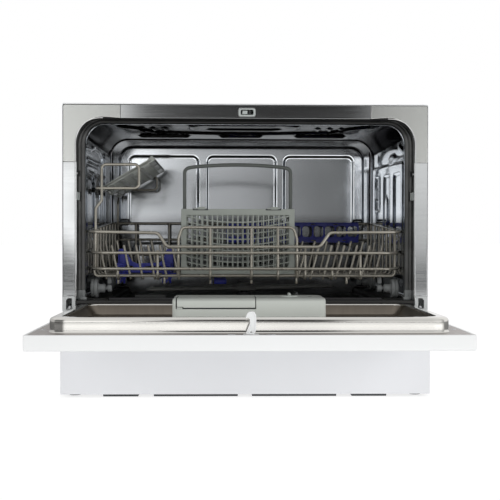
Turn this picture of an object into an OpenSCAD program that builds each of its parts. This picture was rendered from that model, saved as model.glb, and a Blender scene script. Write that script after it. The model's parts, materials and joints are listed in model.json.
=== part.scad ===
// Countertop dishwasher, shown with its door folded down and the rack in.
// Frame of the model: +X right, +Y to the back, +Z up, floor at z = 0.
// Inside the modules y = 0 is the front plane of the cabinet; body_frame() then
// moves everything so that the origin sits under the middle of the whole outline.

/* [Cabinet] */
// Overall width of cabinet and door
cab_w = 550; // [540:1:560]
// Height of the cabinet over its top cover
cab_h = 438; // [436:1:446]
// Depth of the cabinet behind its front plane
cab_d = 480; // [470:1:490]
// Sheet thickness of the painted and stainless panels
sheet_t = 1; // [0.8:0.1:1.2]
// Height of the rubber feet
foot_h = 6; // [5:1:8]

/* [Tub] */
// Half width of the front opening
open_hw = 254; // [253:0.5:255]
// Top edge of the front opening
open_top = 417.6; // [416:0.2:418]
// Corner radius of the front opening
open_r = 40; // [30:1:44]
// Depth of the tub behind the front plane
tub_d = 385; // [380:1:395]

/* [Door] */
// Thickness of the outer door shell
door_t = 19.7; // [19:0.1:20]
// Height of the liner rim above the door shell
rim_h = 19.5; // [18:0.5:19.5]
// Diameter of the door hinge pins
pin_d = 6; // [5:0.5:6]

/* [Rack] */
// Diameter of the rim and arch wires
rim_d = 5; // [4:0.5:5]
// Diameter of the other rack wires
wire_d = 4.5; // [3.5:0.5:4.5]
// Diameter of the plate tines
tine_d = 4; // [3:0.5:4]
// Diameter of the rack rollers
roller_d = 30; // [28:1:30]
// Number of tines in a front row
tine_n = 7; // [5:1:7]

/* [Spray arm] */
// Length of the spray arm from tip to tip
arm_len = 340; // [300:10:340]

/* [Controls] */
// Diameter of the push buttons
btn_d = 12; // [10:1:14]
// How far a button stands proud of the fascia
btn_out = 1.2; // [0.8:0.1:1.6]

/* [Hidden] */
$fn = 48;
yc = 98;              // middle of the outline with the door down (-296 to 492)
hw = cab_w / 2;
ax_y = 10;            // door hinge axis
ax_z = 130;
dz0 = 99.4;           // outer face of the open door
dz1 = dz0 + door_t;   // inner face of the open door shell
dy0 = -296;           // free edge of the open door
dy1 = 30;             // hinge edge of the open door
rim_z = dz1 + rim_h;  // top of the liner rim
wg = 0.02;            // gap between wires that touch

function unit(v) = v / norm(v);
module body_frame() translate([0, -yc, 0]) children();
module box(a, b) translate(a) cube(b - a);
module both() { children(); mirror([1, 0, 0]) children(); }

// straight round rod from a to b
module rod(a, b, d) {
  v = b - a; L = norm(v);
  translate(a) rotate([0, acos(v[2] / L), atan2(v[1], v[0])]) cylinder(d = d, h = L);
}
// round bend of radius R at corner p, from direction u to direction v
module bend(p, u, v, R, d) {
  c = u * v;
  th = acos(max(-1, min(1, c)));
  n = unit(v - c * u);
  C = p - R * tan(th / 2) * u + R * n;
  w = cross(-n, u);
  multmatrix([[-n[0], u[0], w[0], C[0]], [-n[1], u[1], w[1], C[1]], [-n[2], u[2], w[2], C[2]], [0, 0, 0, 1]])
    rotate_extrude(angle = th) translate([R, 0]) circle(d = d);
}
// bent wire through the points: straight lengths and round bends of radius R
module wire(pts, d, R = 10) {
  n = len(pts);
  u = [for (i = [0:n - 2]) unit(pts[i + 1] - pts[i])];
  e = [for (i = [0:n - 1]) (i == 0 || i == n - 1) ? wg / 2 : R * tan(acos(u[i - 1] * u[i]) / 2) + wg];
  for (i = [0:n - 2]) rod(pts[i] + e[i] * u[i], pts[i + 1] - e[i + 1] * u[i], d);
  for (i = [1:n - 2]) bend(pts[i], u[i - 1], u[i], R, d);
}
// rounded rectangle from corner a to corner b
module rr(a, b, r) {
  translate([a[0] + r, a[1]]) square([b[0] - a[0] - 2 * r, b[1] - a[1]]);
  translate([a[0], a[1] + r]) square([b[0] - a[0], b[1] - a[1] - 2 * r]);
  for (x = [a[0] + r, b[0] - r]) for (y = [a[1] + r, b[1] - r]) translate([x, y]) circle(r = r);
}
// outline in x and z, extruded from y0 to y1
module xz(y0, y1) translate([0, y1, 0]) rotate([90, 0, 0]) linear_extrude(y1 - y0) children();
// outline in x and y, extruded from z0 to z1
module xy(z0, z1) translate([0, 0, z0]) linear_extrude(z1 - z0) children();
// outline in y and z, extruded from x0 to x1
module yz(x0, x1) translate([x0, 0, 0]) rotate([90, 0, 90]) linear_extrude(x1 - x0) children();
// front opening, grown by g, down to z0
module opening(g, z0) {
  r = open_r + g; h = open_hw + g; t = open_top + g;
  translate([-h, z0]) square([2 * h, t - r - z0]);
  translate([-h + r, z0]) square([2 * h - 2 * r, t - z0]);
  for (x = [-h + r, h - r]) translate([x, t - r]) circle(r = r);
}

/* ---- cabinet ---- */
module base_pan() body_frame() color("#3c3f42") {
  difference() {
    box([-272.5, 2, foot_h], [272.5, 476, 30]);
    box([-269.5, 5, foot_h + 3], [269.5, 473, 31]);
  }
  // shallow skids that show under the front panel
  for (s = [[-212, -160], [-137, -12], [9, 135], [158, 210]])
    yz(s[0], s[1]) polygon([[-13.6, 1.6], [-12.6, 0.8], [7, 0.8], [8, 1.8], [8, foot_h + 1], [-13.6, foot_h + 1]]);
}
module rubber_feet() body_frame() color("#202224")
  for (x = [-257, 257]) for (y = [14, 462]) difference() {
    translate([x, y, 0]) cylinder(d = 18, h = foot_h);
    translate([x, y, -1]) cylinder(d = 7, h = 3);
  }
module side_panel() {
  yz(hw - sheet_t, hw) difference() {
    translate([sheet_t, foot_h]) square([cab_d - sheet_t, 430]);
    translate([-1, 91]) square([35, 35]);
  }
  box([hw - 7, 36, foot_h - 1], [hw - sheet_t, cab_d - 40, foot_h - 0.05]);
  box([hw - 12, cab_d - 1, foot_h + 3], [hw - sheet_t, cab_d, 434]);
}
module left_side_panel() body_frame() color("#f2f3f3") mirror([1, 0, 0]) side_panel();
module right_side_panel() body_frame() color("#f2f3f3") side_panel();
module top_panel() body_frame() color("#f2f3f3") difference() {
  xy(436.2, cab_h) rr([-hw, 0.4], [hw, cab_d], 6);
  box([-30, 200, 430], [-29, 201, 431]);
}
module back_panel() body_frame() color("#c9cccd") xz(cab_d - 2.2, cab_d - 1.2) difference() {
  translate([-273.5, 9]) square([547, 425]);
  translate([200, 92]) circle(r = 17);
  translate([140, 60]) circle(r = 10.5);
  translate([-200, 60]) circle(r = 9);
}
module lower_front_panel() body_frame() color("#f4f5f5") {
  difference() {
    box([-hw, -16.5, 4.3], [hw, 1, 98]);
    box([-hw + 2, -14.5, 6.1], [hw - 2, 2, 99]);
    box([-hw - 1, -14.5, 90], [hw + 1, 2, 99]);
    box([-251, -14.5, 2], [251, 2, 7]);
  }
  box([-hw + 2, -14.5, 86], [hw - 2, -1, 88]);
}
module top_frame_strip() body_frame() color("#8d9093") {
  xz(0, sheet_t) difference() {
    translate([-187.8, open_top]) square([375.6, 436 - open_top]);
    translate([-11, 418.6]) square([25, 11.8]);
  }
  box([-187.8, sheet_t, 435], [187.8, 12, 436]);
}
module frame_corner_plates() body_frame() color("#b9bfbd") both()
  xz(0, sheet_t) difference() {
    union() {
      translate([188.2, open_top - open_r]) square([hw - 188.2, 436 - open_top + open_r]);
      translate([open_hw, 350.2]) square([hw - open_hw, 60]);
    }
    translate([open_hw - open_r, open_top - open_r]) circle(r = open_r);
    translate([180, 300]) square([open_hw - open_r - 180, open_top - 300]);
    translate([180, 300]) square([open_hw - 180, open_top - open_r - 300]);
  }
module side_frame_strips() body_frame() color("#a9acae") both()
  box([open_hw, 0, 149.6], [hw, sheet_t, 349.8]);
module tub() body_frame() color("#9ea3a8") {
  difference() {
    union() {
      xz(sheet_t, 31.9) opening(1, 141.4);
      xz(31, tub_d + 1) translate([-247, 130.6]) rrt();
    }
    xz(0, 31) opening(0, 142.4);
    xz(31, 33) difference() {
      opening(-10.5, 142.4);
    }
    xz(32, tub_d) translate([-246, 131.6]) rrti();
    // hub and filter holes in the floor
    translate([0, 195, 120]) cylinder(r = 15, h = 20);
    translate([88, 195, 120]) cylinder(r = 32, h = 20);
    translate([-150, 96, 120]) cylinder(r = 28, h = 20);
  }
  // side ledges that the rollers run on, and the front ramp
  both() box([211, 32, 141.6], [246, tub_d, 142.6]);
  both() box([211, 32, 131.6], [212, tub_d, 141.6]);
  // pressed ridges on the back wall
  xz(tub_d - 2.5, tub_d) difference() {
    rr([-228, 266], [228.6, 406], 25);
    rr([-210, 240], [-81.5, 389], 11);
    rr([-64, 240], [63.6, 389], 11);
    rr([80, 240], [209, 389], 11);
  }
}
module rrt() { h = 494; t = 291.4; r = 20;
  square([h, t - r]); translate([r, 0]) square([h - 2 * r, t]);
  for (x = [r, h - r]) translate([x, t - r]) circle(r = r); }
module rrti() { h = 492; t = 289.4; r = 19;
  square([h, t - r]); translate([r, 0]) square([h - 2 * r, t]);
  for (x = [r, h - r]) translate([x, t - r]) circle(r = r); }
module door_gasket() body_frame() color("#26292b")
  xz(19.4, 30.95) difference() { opening(-0.05, 142.5); opening(-10.4, 140); }
module sill_seal() body_frame() color("#2a2c2e") box([-206, 7, 142.45], [206, 13, 146.6]);
module latch_housing() body_frame() color("#e9ebeb") difference() {
  union() {
    box([-26, sheet_t + 0.1, 418.8], [22, 30.8, 434.6]);
    box([-10.9, 0, 418.7], [13.9, 3, 430.3]);
  }
  box([-8.2, -1, 420.9], [11.2, 6, 429.1]);
  box([-23.5, 3, 420.5], [19, 29, 429.5]);
}
module latch_catch() body_frame() color("#c8cccd") {
  difference() {
    box([-20.4, 11, 421.2], [-8.4, 21, 428.8]);
    translate([-14.5, 16, 419]) cylinder(d = 3, h = 12);
  }
}
module hinge_brackets() body_frame() color("#8f9698") both() difference() {
  box([open_hw + 1.2, 1.2, 124], [hw - 1.3, 32, 149.2]);
  box([260, 0, 120], [269, 26, 146.2]);
  rod([250, ax_y, ax_z], [280, ax_y, ax_z], pin_d + 0.04);
}
module hinge_pins() body_frame() color("#c4c7c9") both() rod([255.4, ax_y, ax_z], [273.5, ax_y, ax_z], pin_d);
module door_springs() body_frame() color("#8b8f92") both() {
  for (i = [0:11]) translate([266, 60 + i * 5, 113]) rotate([-90, 0, 0]) rotate_extrude() translate([4.5, 0]) circle(d = 2);
  rod([266, 54, 113], [266, 58.6, 113], 8);
  rod([266, 116.4, 113], [266, 122, 113], 8);
}
/* ---- machine parts below the tub ---- */
module sump() body_frame() color("#4a4e52") {
  difference() {
    union() {
      translate([44, 195, 84]) cylinder(r = 78, h = 46);
      translate([0, 195, 84]) cylinder(d = 24, h = 60.6);
      translate([0, 195, 84]) cylinder(d = 10, h = 75.6);
    }
    translate([88, 195, 90]) cylinder(r = 31, h = 60);
    difference() {
      translate([44, 195, 88]) cylinder(r = 74, h = 40);
      translate([88, 195, 80]) cylinder(r = 35, h = 60);
      translate([0, 195, 80]) cylinder(r = 16, h = 60);
    }
  }
}
module circulation_pump() body_frame() color("#5b6064") {
  rod([-120, 195, 46.4], [-20, 195, 46.4], 72);
  rod([-21, 195, 46.4], [4, 195, 46.4], 46);
  translate([-8, 195, 50]) cylinder(d = 20, h = 33.9);
}
module drain_pump() body_frame() color("#6a6f73") {
  rod([120, 250, 56], [120, 316, 56], 46);
  rod([120, 315, 56], [120, 350, 56], 30);
}
module inlet_valve() body_frame() color("#dfe2e2") difference() {
  union() {
    box([180, 440, 72], [220, 474, 112]);
    rod([200, 473, 92], [200, 492, 92], 26.4);
  }
  rod([200, 470, 92], [200, 493, 92], 18);
}
module drain_spigot() body_frame() color("#5e6366") difference() {
  union() {
    rod([140, 440, 60], [140, 492, 60], 19);
    rod([140, 470, 60], [140, 474, 60], 30);
  }
  rod([140, 439, 60], [140, 493, 60], 14);
}
module water_softener() body_frame() color("#d3d7d7") difference() {
  union() {
    box([-210, 50, 40], [-90, 142, 118]);
    translate([-150, 96, 117]) cylinder(d = 54, h = 17.5);
  }
  translate([-150, 96, 50]) cylinder(d = 46, h = 90);
}
module salt_cap() body_frame() color("#e3e6e6") difference() {
  union() {
    translate([-150, 96, 134.7]) cylinder(d = 62, h = 6);
    translate([-150, 96, 120]) cylinder(d = 45.8, h = 15);
    box([-174, 93.5, 140.6], [-126, 98.5, 146]);
  }
  translate([-150, 96, 118]) cylinder(d = 40, h = 14);
}
module cable_gland() body_frame() color("#2b2d2f") difference() {
  union() {
    rod([-200, 470, 60], [-200, 488, 60], 17.6);
    rod([-200, 478.85, 60], [-200, 482, 60], 26);
    rod([-200, 472, 60], [-200, 477.7, 60], 24);
  }
  rod([-200, 465, 60], [-200, 492, 60], 8);
}
module flat_filter() body_frame() color("#777c80") difference() {
  translate([88, 195, 132.7]) cylinder(r = 70, h = 1.2);
  translate([88, 195, 131]) cylinder(r = 31.5, h = 5);
  translate([0, 195, 131]) cylinder(r = 16, h = 5);
  for (a = [30:30:330]) rotate_about(a) translate([50, -4, 131]) cube([12, 8, 5]);
}
module rotate_about(a) translate([88, 195, 0]) rotate([0, 0, a]) children();
module filter_cup() body_frame() color("#6e7478") {
  difference() {
    translate([88, 195, 92]) cylinder(r = 30.8, h = 44);
    translate([88, 195, 94]) cylinder(r = 27, h = 44);
    for (a = [0:30:330]) rotate_about(a) translate([20, -4, 98]) cube([16, 8, 30]);
  }
  translate([88, 195, 135.5]) difference() {
    cylinder(r = 34, h = 3.6);
    translate([0, 0, -1]) cylinder(r = 26, h = 6);
  }
  box([86, 163, 138], [90, 227, 145.5]);
}
module spray_arm() body_frame() color("#3a3d40") difference() {
  union() {
    translate([0, 195, 148]) cylinder(r = 23, h = 9.6);
    translate([0, 195, 157]) cylinder(r = 10, h = 4);
    xy(148.5, 156) for (a = [20, 200]) translate([0, 195]) rotate(a) {
      polygon([[0, -16], [0, 14], [60, 17], [110, 13], [arm_len / 2 - 14, 14], [arm_len / 2 - 14, -14], [90, -19], [50, -15]]);
      translate([arm_len / 2 - 14, 0]) circle(r = 14);
    }
  }
  translate([0, 195, 147]) cylinder(d = 10.1, h = 12.8);
  for (s = [0, 180]) for (r = [40, 65, 90, 115, 140, 160]) translate([0, 195, 154]) rotate(20 + s)
    translate([r, (r % 2) * 6 - 3, 0]) cylinder(d = 2.4, h = 4);
}

/* ---- door, drawn folded down ---- */
module door_outer_panel() body_frame() color("#f4f5f5") difference() {
  box([-hw, -235.8, dz0], [hw, dy1, dz1]);
  box([-hw + 2, -236, dz0 + 1.2], [hw - 2, dy1 - 2, dz1 - 2.3]);
  box([-240, -237, dz1 - 3], [240, -14, dz1 + 1]);
  // step that the steel flange of the liner lies in
  box([-271.1, -237, dz1 - 0.8], [271.1, -5.9, dz1 + 1]);
  both() box([260, -4, dz1 - 3], [269, 20, dz1 + 1]);
}
module control_fascia() body_frame() color("#f4f5f5") difference() {
  union() {
    difference() {
      box([-hw, dy0, dz0], [hw, -236.2, dz1]);
      box([-hw + 2.5, dy0 + 2.5, dz0 + 2.5], [hw - 2.5, -235, dz1 - 2.5]);
    }
    box([-74, -293.5, dz0 + 1], [74, -258, dz0 + 16]);
  }
  box([-240, -262, dz1 - 3], [240, -230, dz1 + 1]);
  box([-271.1, -292.1, dz1 - 0.8], [271.1, -230, dz1 + 1]);
  // grip pocket with a lip along the free edge
  box([-70, -286, dz0 - 1], [70, -262, dz0 + 13]);
  box([-70, -291, dz0 + 3], [70, -262, dz0 + 13]);
  // display and buttons
  box([-160, -274, dz0 - 1], [-100, -254, dz0 + 3]);
  for (x = [-235, -200, 120, 200]) translate([x, -264, dz0 - 1]) cylinder(d = btn_d + 0.6, h = 4);
}
module display_window() body_frame() color("#15181b")
  xy(dz0 + 0.3, dz0 + 2.3) rr([-159.8, -273.8], [-100.2, -254.2], 1);
module button(x) translate([x, -264, 0]) {
  translate([0, 0, dz0 - btn_out]) cylinder(d = btn_d, h = btn_out + 5);
  translate([0, 0, dz0 + 3.2]) cylinder(d = btn_d + 4, h = 1.4);
}
module power_button() body_frame() color("#d9dcdc") button(-235);
module program_button() body_frame() color("#d9dcdc") button(-200);
module delay_button() body_frame() color("#d9dcdc") button(120);
module start_button() body_frame() color("#d9dcdc") button(200);
module control_board() body_frame() color("#2f6b45") {
  box([-250, -276, 110], [-90, -246, 111.6]);
  box([-226, -272, 111.7], [-196, -256, 114]);
  box([-150, -268, 111.7], [-110, -252, 114.5]);
}
module door_inner_liner() body_frame() color("#c7c9ca") {
  difference() {
    union() {
      xy(dz1 - 0.78, rim_z) rr([-248.8, -268.8], [248.8, -8], 22);
      // flat steel flange round the rim
      box([-271, -292, dz1 - 0.78], [271, -6, dz1]);
    }
    // pan
    xy(dz1 + 3, rim_z + 1) rr([-238, -258], [238, -14], 16);
    // hollow under the rim
    difference() {
      xy(dz1 - 2, rim_z - 1.2) rr([-247.6, -267.6], [247.6, -9.2], 20.8);
      xy(dz1 - 3, rim_z) rr([-239.2, -259.2], [239.2, -12.8], 17.2);
    }
    xy(dz1 - 2, dz1 + 1.8) rr([-239.2, -259.2], [239.2, -12.8], 17.2);
    box([-97, -206, dz1 - 2], [97, -137, rim_z]);
  }
}
module hinge_arms() body_frame() color("#b8bcbe") both() difference() {
  union() {
    rod([262.4, ax_y, ax_z], [266.4, ax_y, ax_z], 13);
    box([262.4, 3.5, 104], [266.4, 16.5, 130]);
    box([262.4, -110, 104], [266.4, 16.5, 115]);
  }
  rod([260, ax_y, ax_z], [270, ax_y, ax_z], pin_d + 0.1);
  for (y = [-90, -50]) rod([260, y, 109.5], [270, y, 109.5], 4.5);
}
module door_hook() body_frame() color("#eef0f0") {
  difference() {
    union() {
      box([-5, -288, dz1 + 0.02], [6.6, -282, 140]);
      xz(-288, -282) difference() {
        union() {
          translate([-6.6, 136]) square([13.2, 6]);
          translate([0, 140.4]) circle(r = 6.6);
        }
      }
    }
    xz(-289, -281) translate([-2.6, 134]) circle(r = 2.6);
  }
}
module door_screws() body_frame() color("#a7abad")
  for (x = [-262, 262]) for (y = [-225, -130, -40]) translate([x, y, dz1 + 0.02]) difference() {
    cylinder(d = 7, h = 0.7);
    translate([-2.4, -0.5, 0.35]) cube([4.8, 1, 2]);
    translate([-0.5, -2.4, 0.35]) cube([1, 4.8, 2]);
  }
module dispenser_housing() body_frame() color("#c9cfc9") difference() {
  union() {
    xy(dz1 + 3.02, 158.6) rr([-100, -209], [100, -134], 8);
    xy(103, dz1 + 3.1) rr([-96.5, -205.5], [96.5, -137.5], 4);
  }
  box([-94.3, -210, 145.5], [8.3, -148, 160]);
  box([-86, -201, 112], [-2, -152, 146]);
  box([12, -203, 102], [94, -140, 150]);
  translate([54, -172, 120]) cylinder(d = 24.16, h = 50);
}
module detergent_lid() body_frame() color("#cfd5cf") {
  box([-94, -209, 156], [8, -148.4, 158.6]);
  box([-94, -209, 145.9], [8, -206.4, 156.1]);
}
module rinse_aid_cap() body_frame() color("#bfc6c0") {
  translate([54, -172, 150]) cylinder(d = 24, h = 10);
  box([52.4, -182, 159.9], [55.6, -162, 163.4]);
}

/* ---- rack ---- */
r_hw = 238.5;          // half width of the rim
r_y0 = 34; r_y1 = 366; // front and back of the rack
cross_y = [50.6, 70, 108, 146, 186, 226, 276, 322, 346];
long_x = [-196, -134.8, -54, 9.3, 50.2, 92.3, 134, 177.6];
cz = 177.6;            // cross wires
lz = cz - wire_d - wg; // long wires
// height of a hoop or the rim above the floor, sloping up to the back
function hoop_z(z0, z1, y) = z0 + (z1 - z0) * (y - r_y0) / (r_y1 - r_y0);
module hoop(h, z0, z1, d) both()
  wire([[0, r_y1, z1], [h, r_y1, z1], [h, r_y0, z0], [0, r_y0, z0]], d, 24);
module rack_rim_wires() body_frame() color("#aaa596") {
  h = r_hw;
  wire([[0, r_y1, 263], [-h, r_y1, 263], [-h, r_y0, 246], [-134.2, r_y0, 244], [-120, r_y0, 222.8], [0, r_y0, 222.8]], rim_d, 14);
  wire([[0, r_y0, 222.8], [114.6, r_y0, 222.8], [129.7, r_y0, 244.6], [h, r_y0, 246], [h, r_y1, 263], [0, r_y1, 263]], rim_d, 14);
  hoop(h, 213.5, 233, wire_d);
  hoop(h, 189, 205, wire_d);
  // pivot wire of the rear shelf and its two arms
  rod([-27, rear_y, 231], [211, rear_y, 231], 4);
  rod([-25, rear_y + 2.05, 231], [-25, r_y1 - 2.3, 231], 4);
  rod([209, rear_y + 2.05, 231], [209, r_y1 - 2.3, 231], 4);
  // arch in front of the cutlery basket
  y = r_y0 + rim_d / 2 + wire_d / 2 + wg;
  wire([[-103, y, cz - 2], [-103, y, 236], [-97, y, 252.6], [74, y, 252.6], [79.5, y, 236], [79.5, y, cz - 2]], wire_d, 8);
}
module rack_cross_wires() body_frame() color("#aaa596") {
  for (y = cross_y) {
    // the end ones stand inside the corner bends of the hoops
    x = (y < 60 || y > 340) ? 231.6 : r_hw - rim_d / 2 - wire_d / 2 - wg;
    rod([-x - wire_d / 2, y, cz], [x + wire_d / 2, y, cz], wire_d);
    for (s = [-x, x]) rod([s, y, cz + wire_d / 2 + wg], [s, y, hoop_z(247, 262, y) + 1], wire_d);
  }
}
module rack_long_wires() body_frame() color("#aaa596") {
  y0 = r_y0 + rim_d / 2 + wire_d / 2 + wg;
  y1 = r_y1 - rim_d / 2 - wire_d / 2 - wg;
  o = wire_d / 2;
  for (x = long_x) {
    // the middle uprights end under the arch wire, the others at a hoop
    t = (x > -60 && x < 60) ? 252.6 - wire_d - 0.1 : (x < -190 || x > 100 && x < 150) ? 192 : 216;
    rod([x, y0 - o, lz], [x, y1 + o, lz], wire_d);
    rod([x, y0, lz + o + wg], [x, y0, t], wire_d);
    rod([x, y1, lz + o + wg], [x, y1, 264], wire_d);
  }
  // short feet along the front
  for (x = [-190, -125, -60, 16.2, 86.7, 157.3]) rod([x, 49, lz - 8], [x, 49, cz - o - wg], 4);
}
module tines(x0, dx, n, y, lean, zt) for (i = [0:n - 1])
  rod([x0 + i * dx - lean * (zt - cz + 1.8) / (zt - cz + 6), y, cz - 1.8], [x0 + i * dx, y, zt], tine_d);
module rack_tines() body_frame() color("#aaa596") {
  yo = (wire_d + tine_d) / 2 + wg;
  tines(-227, 18.8, tine_n, 70 - yo, -11.4, 225.5);
  tines(-227, 18.8, tine_n - 1, 146 - yo, -11.4, 232.5);
  tines(96.5, 19.95, tine_n, 70 - yo, 14.4, 225.5);
  tines(96.5, 19.95, tine_n, 146 - yo, 14.4, 231.5);
}
sh_x = -223; sh_z = 313;    // cup shelf pivot wire
rear_y = 351;               // plane of the rear shelf
module cup_shelf_bracket() body_frame() color("#aaa596") {
  x = -228.4;
  // front loop
  wire([[x, 44.6, 190], [x, 44.6, 282], [-221.5, 48, 294], [-221.5, 48, 349.6], [-164, 48, 349.6],
    [-164, 48, sh_z], [-232, 48, sh_z]], wire_d, 7);
  // rear loop
  wire([[x, 355.4, 206], [x, 355.4, 300], [-225, 344, 316], [-225, 344, 349], [-156, 344, 349],
    [-156, 344, 324], [-219, 344, 324]], wire_d, 7);
  // pivot wire of the cup shelf
  rod([sh_x, 48 + wire_d / 2 + wg, sh_z], [sh_x, 338, sh_z], 4);
}
module cup_shelf() body_frame() color("#7f8784") translate([sh_x, 0, sh_z]) rotate([0, -30, 0]) {
  difference() {
    union() {
      box([3.2, 62, -1.5], [94, 328, 1.5]);
      for (y = [62, 180, 298]) rod([0, y, 0], [0, y + 30, 0], 9);
      for (y = [62, 326]) box([3.2, y, -1.4], [94, y + 2, 7]);
      box([92, 62, -1.4], [94, 328, 7]);
    }
    rod([0, 50, 0], [0, 340, 0], 4.16);
    for (i = [0:9]) for (j = [0, 1]) box([14 + j * 38, 72 + i * 25, -3], [46 + j * 38, 89 + i * 25, 3]);
  }
}
module bowl_support() body_frame() color("#1c2478") {
  y = 104.9;
  xz(y - 3.4, y) difference() {
    translate([-202, 180]) square([89, 39]);
    translate([-183, 198]) square([54, 30]);
    translate([-160, 184]) square([28, 8]);
  }
  // clips that reach down past the wires
  for (x = [-204, -131]) difference() {
    box([x, 92, 164], [x + 14, 101.4, 196]);
    box([x + 3, 91, 163], [x + 11, 102, 190]);
  }
  box([-56, 94, 163], [-29, 101, 170]);
}
module roller_axles() body_frame() color("#7b8184") both() for (y = [60, 300]) {
  rod([207, y, 158], [239.4, y, 158], 6);
  difference() {
    rod([207, y, 158], [213.5, y, 158], 20);
    rod([206, y, 158], [214, y, 158], 6.02);
  }
  box([207, y - 4, 168.2], [213.5, y + 4, 175]);
}
module roller(x, y) translate([x, y, 158]) rotate([0, 90, 0]) difference() {
  union() {
    translate([0, 0, 15.4]) cylinder(d = roller_d, h = 9.6);
    translate([0, 0, 0.4]) cylinder(d = 20, h = 15.1);
  }
  translate([0, 0, -1]) cylinder(d = 6.12, h = 30);
  translate([0, 0, 23]) difference() { cylinder(d = roller_d - 6, h = 3); cylinder(d = 12, h = 8, center = true); }
}
module roller_front_right() body_frame() color("#7f8689") roller(213.7, 60);
module roller_rear_right() body_frame() color("#7f8689") roller(213.7, 300);
module roller_front_left() body_frame() color("#7f8689") mirror([1, 0, 0]) roller(213.7, 60);
module roller_rear_left() body_frame() color("#7f8689") mirror([1, 0, 0]) roller(213.7, 300);
module rear_shelf() body_frame() color("#1c2478") {
  difference() {
    box([-29, rear_y - 1.5, 233.4], [216, rear_y + 1.5, 265]);
    for (i = [0:10]) box([-14.4 + i * 21, rear_y - 3, 237], [3.6 + i * 21, rear_y + 3, 259]);
  }
  for (x = [-20, 90, 192]) difference() {
    rod([x, rear_y, 231], [x + 14, rear_y, 231], 9);
    rod([x - 1, rear_y, 231], [x + 15, rear_y, 231], 4.16);
  }
}
// lattice wall of the basket between two corners in x and z
module lattice(x0, x1, z0, z1, nx) difference() {
  translate([x0, z0]) square([x1 - x0, z1 - z0]);
  p = (x1 - x0 - 14) / nx;
  for (i = [0:nx - 1]) for (k = [0:3]) translate([x0 + 7 + i * p + 1.2, z0 + 8 + k * (z1 - z0 - 15) / 4 + 1])
    square([p - 2.4, (z1 - z0 - 15) / 4 - 2]);
}
bk = [-99.6, 77, 56, 136, 180.2, 281.5];   // basket x0 x1 y0 y1 z0 z1
module cutlery_basket() body_frame() color("#8e9690") {
  xz(bk[2], bk[2] + 2.4) lattice(bk[0], bk[1], bk[4], bk[5], 10);
  xz(bk[3] - 2.4, bk[3]) lattice(bk[0], bk[1], bk[4], bk[5], 10);
  for (x = [bk[0], bk[1] - 2.4]) yz(x, x + 2.4) difference() {
    translate([bk[2] + 2.4, bk[4]]) square([bk[3] - bk[2] - 4.8, bk[5] - bk[4]]);
    for (i = [0:7]) translate([bk[2] + 8 + i * 8.2, bk[4] + 10]) square([5.4, 80]);
  }
  xy(bk[4], bk[4] + 2.4) difference() {
    translate([bk[0] + 2.4, bk[2] + 2.4]) square([bk[1] - bk[0] - 4.8, bk[3] - bk[2] - 4.8]);
    for (i = [0:6]) for (j = [0:2]) translate([bk[0] + 8 + i * 23.6, bk[2] + 7 + j * 23.6]) square([18, 18]);
  }
  // dividers
  for (x = [-12.4]) yz(x, x + 2.2) translate([bk[2] + 2.4, bk[4] + 2.4]) square([bk[3] - bk[2] - 4.8, bk[5] - bk[4] - 12]);
  for (x = [-70, -41, 18, 47]) yz(x, x + 1.8) translate([bk[2] + 2.4, bk[4] + 2.4]) square([bk[3] - bk[2] - 4.8, 60]);
}
module cutlery_handle() body_frame() color("#858d87") {
  y = 96;
  xz(y - 4, y + 4) difference() {
    union() {
      translate([bk[0] + 2.6, 262]) square([5, 76]);
      translate([bk[1] - 7.6, 262]) square([5, 76]);
      translate([-93, 346.2]) square([163.4, 5]);
      translate([bk[0] + 2.6 + 13, 338.2]) circle(r = 13);
      translate([bk[1] - 2.6 - 13, 338.2]) circle(r = 13);
    }
    translate([bk[0] + 15.6, 338.2]) circle(r = 8);
    translate([bk[1] - 15.6, 338.2]) circle(r = 8);
    translate([bk[0] + 7.6, 320]) square([bk[1] - bk[0] - 15.2, 18.2]);
    translate([bk[0] + 15.6, 320]) square([bk[1] - bk[0] - 31.2, 26.2]);
  }
}

base_pan();
rubber_feet();
left_side_panel();
right_side_panel();
top_panel();
back_panel();
lower_front_panel();
top_frame_strip();
frame_corner_plates();
side_frame_strips();
tub();
door_gasket();
sill_seal();
latch_housing();
latch_catch();
hinge_brackets();
hinge_pins();
door_springs();
sump();
circulation_pump();
drain_pump();
inlet_valve();
drain_spigot();
water_softener();
salt_cap();
cable_gland();
flat_filter();
filter_cup();
spray_arm();
door_outer_panel();
control_fascia();
display_window();
power_button();
program_button();
delay_button();
start_button();
control_board();
door_inner_liner();
hinge_arms();
door_hook();
door_screws();
dispenser_housing();
detergent_lid();
rinse_aid_cap();
rack_rim_wires();
rack_cross_wires();
rack_long_wires();
rack_tines();
cup_shelf_bracket();
bowl_support();
roller_axles();
roller_front_left();
roller_front_right();
roller_rear_left();
roller_rear_right();
cup_shelf();
rear_shelf();
cutlery_basket();
cutlery_handle();
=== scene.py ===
"""Countertop dishwasher with its door folded down: looks for every piece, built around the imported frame."""
import bpy, bmesh, json, math
import numpy as np
from math import pi, sin, cos, radians
from mathutils import Vector, Matrix, geometry


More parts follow.
